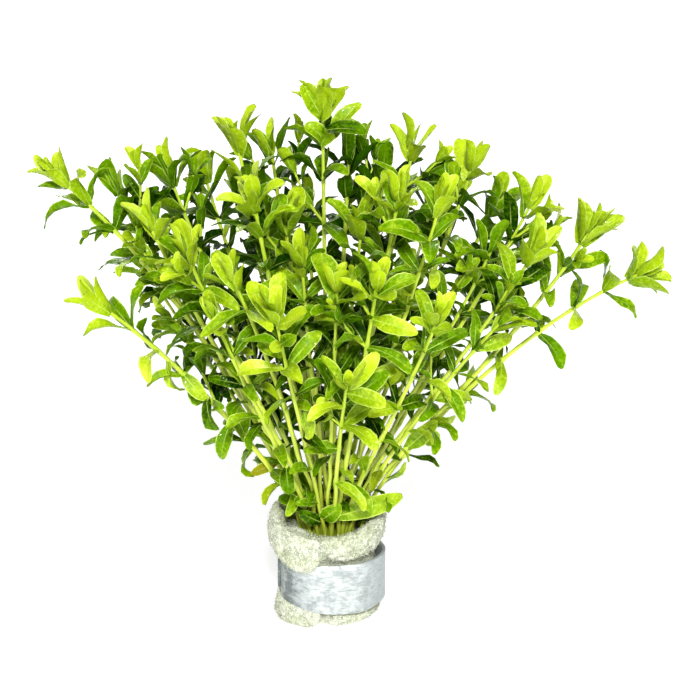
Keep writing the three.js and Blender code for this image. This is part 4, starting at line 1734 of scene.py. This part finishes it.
    def _leaves(self, stem: StemLine, number: int) -> dict[str, list]:
        """Works out how a stem's leaves are turned and sized.

        Args:
            stem: The stem.
            number: The stem's number.

        Returns:
            For each leaf its turn, its size, its kind of unit leaf, and how withered it is.
        """
        draw = draws("turns", number)
        found: dict[str, list] = {"turn": [], "size": [], "kind": [], "sere": []}
        for leaf in stem.leaves:
            chord = leaf.tip - leaf.foot
            axes = Matrix((leaf.across, chord.normalized(), leaf.face)).transposed()
            tip = leaf.level < self.tip_level
            give = self.tip_give if tip else 1.0
            loosened = Matrix.Rotation(draw.gauss(0, self.loose) * give, 3, "X")
            rolled = Matrix.Rotation(draw.gauss(0, self.roll) * give, 3, "Y")
            found["turn"].append(tuple((axes @ loosened @ rolled).to_quaternion()))
            wide = draw.uniform(*self.fullness) * (self.tip_fullness if tip else 1.0)
            found["size"].append((leaf.width * wide, chord.length, chord.length))
            form = LeafForm.CUPPED if tip else LeafForm.SPREAD
            bend = leaf.bend + draw.gauss(0, self.bending)
            found["kind"].append(self.leaf_shape.index(form, bend, draw.randrange(99)))
            old = leaf.foot.z < self.withered_height and leaf.level > self.withered_level
            withers = old and draw.random() < self.withered_share
            found["sere"].append(draw.uniform(*self.withered) if withers else 0.0)
        return found

    @staticmethod
    def _tree() -> bpy.types.NodeTree:
        """Builds the tree that grows a stem: a tube along the line, and leaves on the points.

        Returns:
            The geometry tree.
        """
        wire, given = new_geometry_tree(
            "grown_stem",
            {
                "Unit leaves": "Collection",
                "Stalk sides": "Int",
                "Leaf material": "Material",
                "Stalk material": "Material",
            },
        )
        is_leaf = wire.named("is_leaf", "BOOLEAN")
        parted = wire.node(
            "GeometryNodeSeparateGeometry",
            {"Geometry": given["Geometry"], "Selection": is_leaf},
            domain="POINT",
        ).outputs
        shapes = wire.add(
            "GeometryNodeCollectionInfo",
            {"Collection": given["Unit leaves"], "Separate Children": True, "Reset Children": True},
        )
        leaves = wire.add(
            "GeometryNodeInstanceOnPoints",
            {
                "Points": parted["Selection"],
                "Instance": shapes,
                "Pick Instance": True,
                "Instance Index": wire.named("kind", "INT"),
                "Rotation": wire.named("turn", "QUATERNION"),
                "Scale": wire.named("size", "FLOAT_VECTOR"),
            },
        )
        curve = wire.add("GeometryNodeMeshToCurve", {"Mesh": parted["Inverted"]})
        circle = wire.add(
            "GeometryNodeCurvePrimitiveCircle", {"Resolution": given["Stalk sides"], "Radius": 1.0}
        )
        ring = wire.add("GeometryNodeInputPosition")
        circle = wire.store(circle, "round", ring, "FLOAT_VECTOR")
        girth = wire.named("girth")
        tube = wire.add(
            "GeometryNodeCurveToMesh",
            {"Curve": curve, "Profile Curve": circle, "Scale": girth, "Fill Caps": True},
        )
        # The skin runs round the stalk in X and Y, and 1 unit in Z for every 8 mm along it.
        units = wire.maths("MULTIPLY", wire.named("length"), per_metre(8))
        lift = wire.add("ShaderNodeCombineXYZ", {"Z": units})
        around = wire.named("round", "FLOAT_VECTOR")
        skin = wire.add("ShaderNodeVectorMath", {0: around, 1: lift}, operation="ADD")
        tube = wire.store(tube, "skin", skin, "FLOAT_VECTOR")
        grown = wire.add("GeometryNodeSetShadeSmooth", {0: wire.real(leaves, tube)})
        grown = wire.dress(grown, given["Stalk material"])
        grown = wire.dress(grown, given["Leaf material"], Selection=is_leaf)
        wire.node("NodeGroupOutput", {0: grown})
        return wire.tree


@dataclass
class MetalStrip:
    """The soft metal strip: rolled edges, shallow dents and a slightly wavy rim."""

    material: bpy.types.Material
    stations_between: int = 4
    rows: int = 8
    edge: float = 0.22 * MM
    # How far in from the faces the rounding of an edge ends, as a share of the thickness, and
    # how much lower than the edge it is there.
    rounding: float = 0.26
    drop: float = 0.05 * MM
    # The dents' depth, length and height, and what the finer ones come to beside them.
    dent: float = 0.13 * MM
    dent_length: float = 8 * MM
    dent_height: float = 6 * MM
    fine_dents: float = 0.45
    # The upper rim's waves: their height and length.
    rim_wave: float = 0.14 * MM
    rim_length: float = 7 * MM
    # One unit of the UV map.
    map_unit: float = 100 * MM

    def build(self, node: bpy.types.Object) -> bpy.types.Object:
        """Builds the strip over its node's own course.

        Args:
            node: The strip's node.

        Returns:
            The finished strip.
        """
        inner, outer = (self._smooth(line) for line in self._course(node))
        along = np.concatenate(
            ([0.0], np.cumsum(np.linalg.norm(np.diff(outer[:, :2], axis=0), axis=1)))
        )
        width = float((outer[:, 2] - outer[:, 3]).mean())
        section = self._section(width)
        verts, places, faces = [], [], []
        for at, near, far in zip(along, inner, outer):
            through = far[:2] - near[:2]
            thick = float(np.linalg.norm(through))
            at_rim = self.rim_wave * noise.noise(Vector((at / self.rim_length, 0.7, 9.0)))
            for share, height in section:
                up = height / width
                spot = Vector((at / self.dent_length, height / self.dent_height, 3.1))
                push = noise.noise(spot) + self.fine_dents * noise.noise(spot * 2.9)
                push *= self.dent * (0.6 + 0.8 * abs(up - 0.5))
                point = near[:2] + through * (share + push / thick)
                level = near[3] + (near[2] - near[3]) * up
                verts.append((point[0], point[1], level + at_rim * up))
                places.append([v / self.map_unit for v in (at + thick * (share - 1), height)])
        count, total = len(section), len(inner)
        for i in range(total - 1):
            for k in range(count):
                a, b = i * count + k, i * count + (k + 1) % count
                faces.append((a, b, b + count, a + count))
        faces.append(tuple(reversed(range(count))))
        faces.append(tuple(range((total - 1) * count, total * count)))
        mesh = bpy.data.meshes.new("wound_metal_strip")
        mesh.from_pydata(verts, [], faces)
        write_map(mesh, places)
        tidy = bmesh.new()
        tidy.from_mesh(mesh)
        bmesh.ops.recalc_face_normals(tidy, faces=tidy.faces)
        tidy.to_mesh(mesh)
        tidy.free()
        mesh.materials.append(self.material)
        mesh.shade_smooth()
        mesh.set_sharp_from_angle(angle=50 * DEGREE)
        piece = new_object("wound_metal_strip", mesh)
        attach(piece, BODY)
        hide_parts(node.name)
        LOG.info("wound the strip, %.0f mm long", along[-1] / MM)
        return piece

    @staticmethod
    def _course(node: bpy.types.Object) -> tuple[np.ndarray, np.ndarray]:
        """Reads the strip's course from the rim of its upper edge.

        Args:
            node: The strip's node.

        Returns:
            The inner and the outer line from one end to the other: X, Y, and the levels of the
            upper and the lower edge.
        """
        solid = weld(node.data)
        near: dict = {}
        for edge in solid.edges:
            if sum(face.normal.z > 0.9 for face in edge.link_faces) == 1:
                for v in edge.verts:
                    near.setdefault(v, []).append(edge.other_vert(v))
        start = next(iter(near))
        loop = [start, near[start][0]]
        while True:
            ahead = [v for v in near[loop[-1]] if v is not loop[-2]][0]
            if ahead is start:
                break
            loop.append(ahead)
        corners = np.array([v.co[:] for v in solid.verts])
        solid_rim = np.array([v.co[:] for v in loop])
        solid.free()
        apart = np.linalg.norm(corners[None, :, :2] - solid_rim[:, None, :2], axis=2)
        beside = apart < 10 * MERGED
        lows = np.where(beside, corners[None, :, 2], np.inf).min(axis=1)
        points = np.column_stack((solid_rim, lows))
        gaps = np.linalg.norm(np.roll(solid_rim, -1, axis=0) - solid_rim, axis=1)
        first, second = sorted(np.argsort(gaps)[:2])
        one = points[first + 1 : second + 1]
        other = np.concatenate((points[second + 1 :], points[: first + 1]))[::-1]
        middle = points.mean(axis=0)
        reach = [np.linalg.norm((line - middle)[:, :2], axis=1).mean() for line in (one, other)]
        return (one, other) if reach[0] < reach[1] else (other, one)

    def _smooth(self, line: np.ndarray) -> np.ndarray:
        """Puts more stations between the given ones, at the same shares on both faces.

        Args:
            line: The given stations, one a row.

        Returns:
            The line with all its stations.
        """
        count = (len(line) - 1) * self.stations_between
        found = []
        for i in range(count + 1):
            k, t = divmod(i, self.stations_between)
            t /= self.stations_between
            a, b = line[max(k - 1, 0)], line[k]
            c, d = line[min(k + 1, len(line) - 1)], line[min(k + 2, len(line) - 1)]
            found.append(
                0.5 * (2 * b + (c - a) * t + (2 * a - 5 * b + 4 * c - d) * t**2
                + (3 * b - a - 3 * c + d) * t**3)
            )
        return np.array(found)

    def _section(self, width: float) -> list[tuple[float, float]]:
        """Gives the section's points, each a share of the thickness and a height.

        Args:
            width: The strip's width.

        Returns:
            The points, in order round the section.
        """
        side = [self.edge + (width - 2 * self.edge) * i / self.rows for i in range(self.rows + 1)]
        far, near, top = 1 - self.rounding, self.rounding, width - self.drop
        over = [(far, top), (0.5, width), (near, top)]
        below = [(near, self.drop), (0.5, 0.0), (far, self.drop)]
        return [(1.0, h) for h in side] + over + [(0.0, h) for h in reversed(side)] + below


@dataclass
class FoamWrap:
    """The wrap of filter foam: soft, squeezed at the waist, open-pored and ragged."""

    material: bpy.types.Material
    voxel: float = 0.38 * MM
    closing: float = 1.2 * MM
    lump: float = 2.4 * MM
    grain: float = 0.9 * MM
    rough: float = 0.8 * MM
    # The two noises' sum at the middle of the skin, and its span from a pit to the surface.
    level: float = 1.15
    pits: tuple[float, float] = (1.2, 0.9)
    # Struts: how many a square metre holds, how long, how thick at the root and the end, how
    # much of the length is rooted, how far each leans and turns, and how the lengths differ.
    strut_density: float = 3.4e6
    strut_length: float = 1.05 * MM
    strut_radii: tuple[float, float] = (0.13, 0.08)
    strut_root: float = 0.3
    strut_turns: tuple[float, float, float] = (1.45, 1.45, 3.1)
    strut_sizes: tuple[float, float] = (0.55, 1.15)
    subdivisions: int = 2
    easing: tuple[float, int] = (0.5, 3)
    # The struts stand out where the strip and the floor are farther off than this, and lie flat
    # where they are nearer.
    strip_room: tuple[float, float] = (0.45 * MM, 1.25 * MM)
    floor_room: tuple[float, float] = (0.4 * MM, 1.8 * MM)

    def build(self, node: bpy.types.Object, strip: bpy.types.Object) -> bpy.types.Object:
        """Builds the foam from its solid.

        Args:
            node: The foam's node.
            strip: The finished strip, which squeezes the foam.

        Returns:
            The finished foam.
        """
        soft = weld(node.data)
        mesh = bpy.data.meshes.new("open_pored_foam")
        soft.to_mesh(mesh)
        soft.free()
        piece = new_object("open_pored_foam", mesh)
        rounding = piece.modifiers.new("rounding", "SUBSURF")
        rounding.levels = rounding.render_levels = self.subdivisions
        # Swelling, joining and shrinking again closes the narrow gaps between the layers.
        for name, push in (("swelling", self.closing), ("shrinking", -self.closing)):
            step = piece.modifiers.new(name, "DISPLACE")
            step.strength, step.mid_level = push, 0.0
            cells = piece.modifiers.new(f"{name}_cells", "REMESH")
            cells.mode, cells.voxel_size = "VOXEL", self.voxel
            easing = piece.modifiers.new(f"{name}_easing", "SMOOTH")
            easing.factor, easing.iterations = self.easing
        settle(piece)
        self._mark_free(piece.data, strip)
        add_tree(
            piece,
            self._tree(),
            {
                "Lump size": self.lump,
                "Grain size": self.grain,
                "Roughness": self.rough,
                "Strut density": self.strut_density,
                "Strut length": self.strut_length,
                "Material": self.material,
            },
        )
        settle(piece)
        piece.data.shade_smooth()
        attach(piece, BODY)
        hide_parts(node.name)
        LOG.info("foam wrap, %d faces", len(piece.data.polygons))
        return piece

    def _mark_free(self, mesh: bpy.types.Mesh, strip: bpy.types.Object) -> None:
        """Marks where nothing presses on the foam, so that its struts stand out there.

        Args:
            mesh: The foam's mesh.
            strip: The finished strip.
        """
        tree = search_tree([vert.co for vert in strip.data.vertices])
        free = [
            smoothstep(*self.strip_room, tree.find(vert.co)[2])
            * smoothstep(*self.floor_room, vert.co.z)
            for vert in mesh.vertices
        ]
        write_attribute(mesh, "free", "FLOAT", np.array(free))

    def _tree(self) -> bpy.types.NodeTree:
        """Builds the tree that roughens the skin and lays the net's struts on it.

        Returns:
            The geometry tree.
        """
        sizes = ("Lump size", "Grain size", "Roughness", "Strut density", "Strut length")
        wire, given = new_geometry_tree(
            "open_pores", {**dict.fromkeys(sizes, "Float"), "Material": "Material"}
        )
        place = wire.add("GeometryNodeInputPosition")
        normal = wire.add("GeometryNodeInputNormal")
        free = wire.named("free")
        lumps, grains = (
            wire.noise(place, wire.maths("DIVIDE", 1.0, given[name]), 1.0) for name in sizes[:2]
        )
        uneven = wire.maths("ADD", lumps, grains)
        pit = wire.ramp(uneven, self.pits, (0.6, 1.0))
        down = wire.maths("SUBTRACT", uneven, self.level)
        for factor in (free, given["Roughness"]):
            down = wire.maths("MULTIPLY", down, factor)
        push = wire.add("ShaderNodeVectorMath", {0: normal, "Scale": down}, operation="SCALE")
        marked = wire.store(given["Geometry"], "pit", pit, "FLOAT")
        pored = wire.add("GeometryNodeSetPosition", {"Geometry": marked, "Offset": push})
        points = wire.node(
            "GeometryNodeDistributePointsOnFaces",
            {"Mesh": pored, "Density": given["Strut density"], "Seed": 3},
        ).outputs
        pressed = wire.add("FunctionNodeCompare", {0: free, 1: 0.5}, operation="LESS_THAN")
        kept = wire.add(
            "GeometryNodeDeleteGeometry",
            {"Geometry": points["Points"], "Selection": pressed},
            domain="POINT",
        )
        root, end = self.strut_radii
        strut = wire.add(
            "GeometryNodeMeshCone",
            {"Vertices": 3, "Radius Top": end, "Radius Bottom": root, "Depth": 1.0},
        )
        sunk = (0.0, 0.0, -self.strut_root)
        strut = wire.add("GeometryNodeTransform", {"Geometry": strut, "Translation": sunk})
        tilt = wire.add(
            "FunctionNodeRandomValue",
            {"Min": [-turn for turn in self.strut_turns], "Max": self.strut_turns, "Seed": 5},
            data_type="FLOAT_VECTOR",
        )
        short, long = self.strut_sizes
        size = wire.add(
            "FunctionNodeRandomValue", {2: short, 3: long, "Seed": 8}, 1, data_type="FLOAT"
        )
        size = wire.maths("MULTIPLY", size, given["Strut length"])
        tilted = wire.add(
            "FunctionNodeRotateRotation",
            {"Rotation": points["Rotation"], "Rotate By": tilt},
            rotation_space="LOCAL",
        )
        struts = wire.add(
            "GeometryNodeInstanceOnPoints",
            {"Points": kept, "Instance": strut, "Rotation": tilted, "Scale": size},
        )
        wire.node("NodeGroupOutput", {0: wire.dress(wire.real(struts, pored), given["Material"])})
        return wire.tree


@dataclass(frozen=True)
class Lamp:
    """A square lamp that faces the bunch: its place and size in metres, and its power."""

    name: str
    place: tuple[float, float, float]
    size: float
    power: float


@dataclass(frozen=True)
class Studio:
    """A pale floor, soft light and the camera at the photograph's angle."""

    lamps: tuple[Lamp, ...] = (
        Lamp("key", (0.04, -0.74, 0.56), 0.12, 8.1),
        Lamp("top", (0.1, 0.1, 0.9), 0.4, 1.5),
        Lamp("back", (-0.35, 0.8, 0.6), 0.3, 5.0),
        Lamp("glint_left", (-0.45, -0.6, 0.35), 0.025, 0.75),
        Lamp("glint_right", (0.5, -0.5, 0.3), 0.025, 0.75),
        Lamp("glint_low", (-0.15, -0.75, 0.2), 0.025, 0.75),
        Lamp("glint_high", (0.25, -0.45, 0.7), 0.025, 0.75),
    )
    lit: tuple[float, float, float] = (0.0, 0.0, 0.07)
    floor_half: float = 3.0
    floor_drop: float = 0.05 * MM
    aim: tuple[float, float, float] = (-0.4 * MM, -4.75 * MM, 69.9 * MM)
    distance: float = 480 * MM
    elevation: float = 20 * DEGREE
    lens: float = 102.857
    sensor: float = 36.0

    def build(self) -> None:
        """Makes the floor, the lights, the world and the camera."""
        self._floor()
        self._lights()
        self._camera()
        bpy.context.scene.view_settings.view_transform = "Standard"

    def _floor(self) -> None:
        """Lays a pale floor under the bunch."""
        mesh = bpy.data.meshes.new("floor")
        half = self.floor_half
        corners = [(-half, -half, 0), (half, -half, 0), (half, half, 0), (-half, half, 0)]
        mesh.from_pydata(corners, [], [(0, 1, 2, 3)])
        material, shader, wire = new_material("pale_floor")
        # Farther out, where the lamps fade, the floor glows more and stays white.
        away = wire.add("ShaderNodeVectorMath", {0: wire.point()}, "Value", operation="LENGTH")
        feed(
            shader,
            {
                "Base Color": linear("C8C8C8"),
                "Roughness": 0.9,
                "Emission Color": linear("FFFFFF"),
                "Emission Strength": wire.ramp(away, (0.1, 0.7), (0.6, 1.0)),
            },
        )
        mesh.materials.append(material)
        floor = new_object("floor", mesh)
        floor.location.z = -self.floor_drop

    def _lights(self) -> None:
        """Sets a white world and soft lamps, the strongest near the camera."""
        world = bpy.data.worlds.new("white_room")
        world.use_nodes = True
        wire = Wiring(world.node_tree)
        height = wire.split(wire.add("ShaderNodeTexCoord", output="Generated"))["Z"]
        # White near the horizon and dimmer overhead, so that the lamps still cast shade.
        strength = wire.ramp(height, (0.02, 0.25), (0.4, 0.05))
        background = world.node_tree.nodes["Background"]
        feed(background, {"Color": linear("FFFFFF"), "Strength": strength})
        bpy.context.scene.world = world
        for lamp in self.lamps:
            data = bpy.data.lights.new(lamp.name, "AREA")
            data.size, data.energy = lamp.size, lamp.power
            made = bpy.data.objects.new(lamp.name, data)
            made.location = lamp.place
            towards = Vector(self.lit) - Vector(lamp.place)
            made.rotation_euler = towards.to_track_quat("-Z", "Y").to_euler()
            bpy.context.scene.collection.objects.link(made)

    def _camera(self) -> None:
        """Stands the camera where the photograph was taken from."""
        data = bpy.data.cameras.new("camera")
        data.sensor_fit = "HORIZONTAL"
        data.sensor_width = self.sensor
        data.lens = self.lens
        data.clip_start, data.clip_end = 0.01, 20
        camera = bpy.data.objects.new("camera", data)
        forward = Vector((0, math.cos(self.elevation), -math.sin(self.elevation)))
        camera.location = Vector(self.aim) - forward * self.distance
        camera.rotation_euler = forward.to_track_quat("-Z", "Y").to_euler()
        bpy.context.scene.collection.objects.link(camera)
        bpy.context.scene.camera = camera


def main() -> None:
    """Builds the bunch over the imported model, piece by piece."""
    logging.basicConfig(level=logging.INFO, format="%(name)s: %(message)s")
    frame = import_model()
    nodes = frame["nodes"]
    strip = MetalStrip(MetalFinish().material()).build(nodes["metal_strip"])
    FoamWrap(FoamFinish().material()).build(nodes["foam_wrap"], strip)
    Bunch(LeafShape(), LeafFinish().material(), StalkFinish().material()).build(nodes)
    Studio().build()
    bpy.context.view_layer.update()


if __name__ == "__main__":
    main()
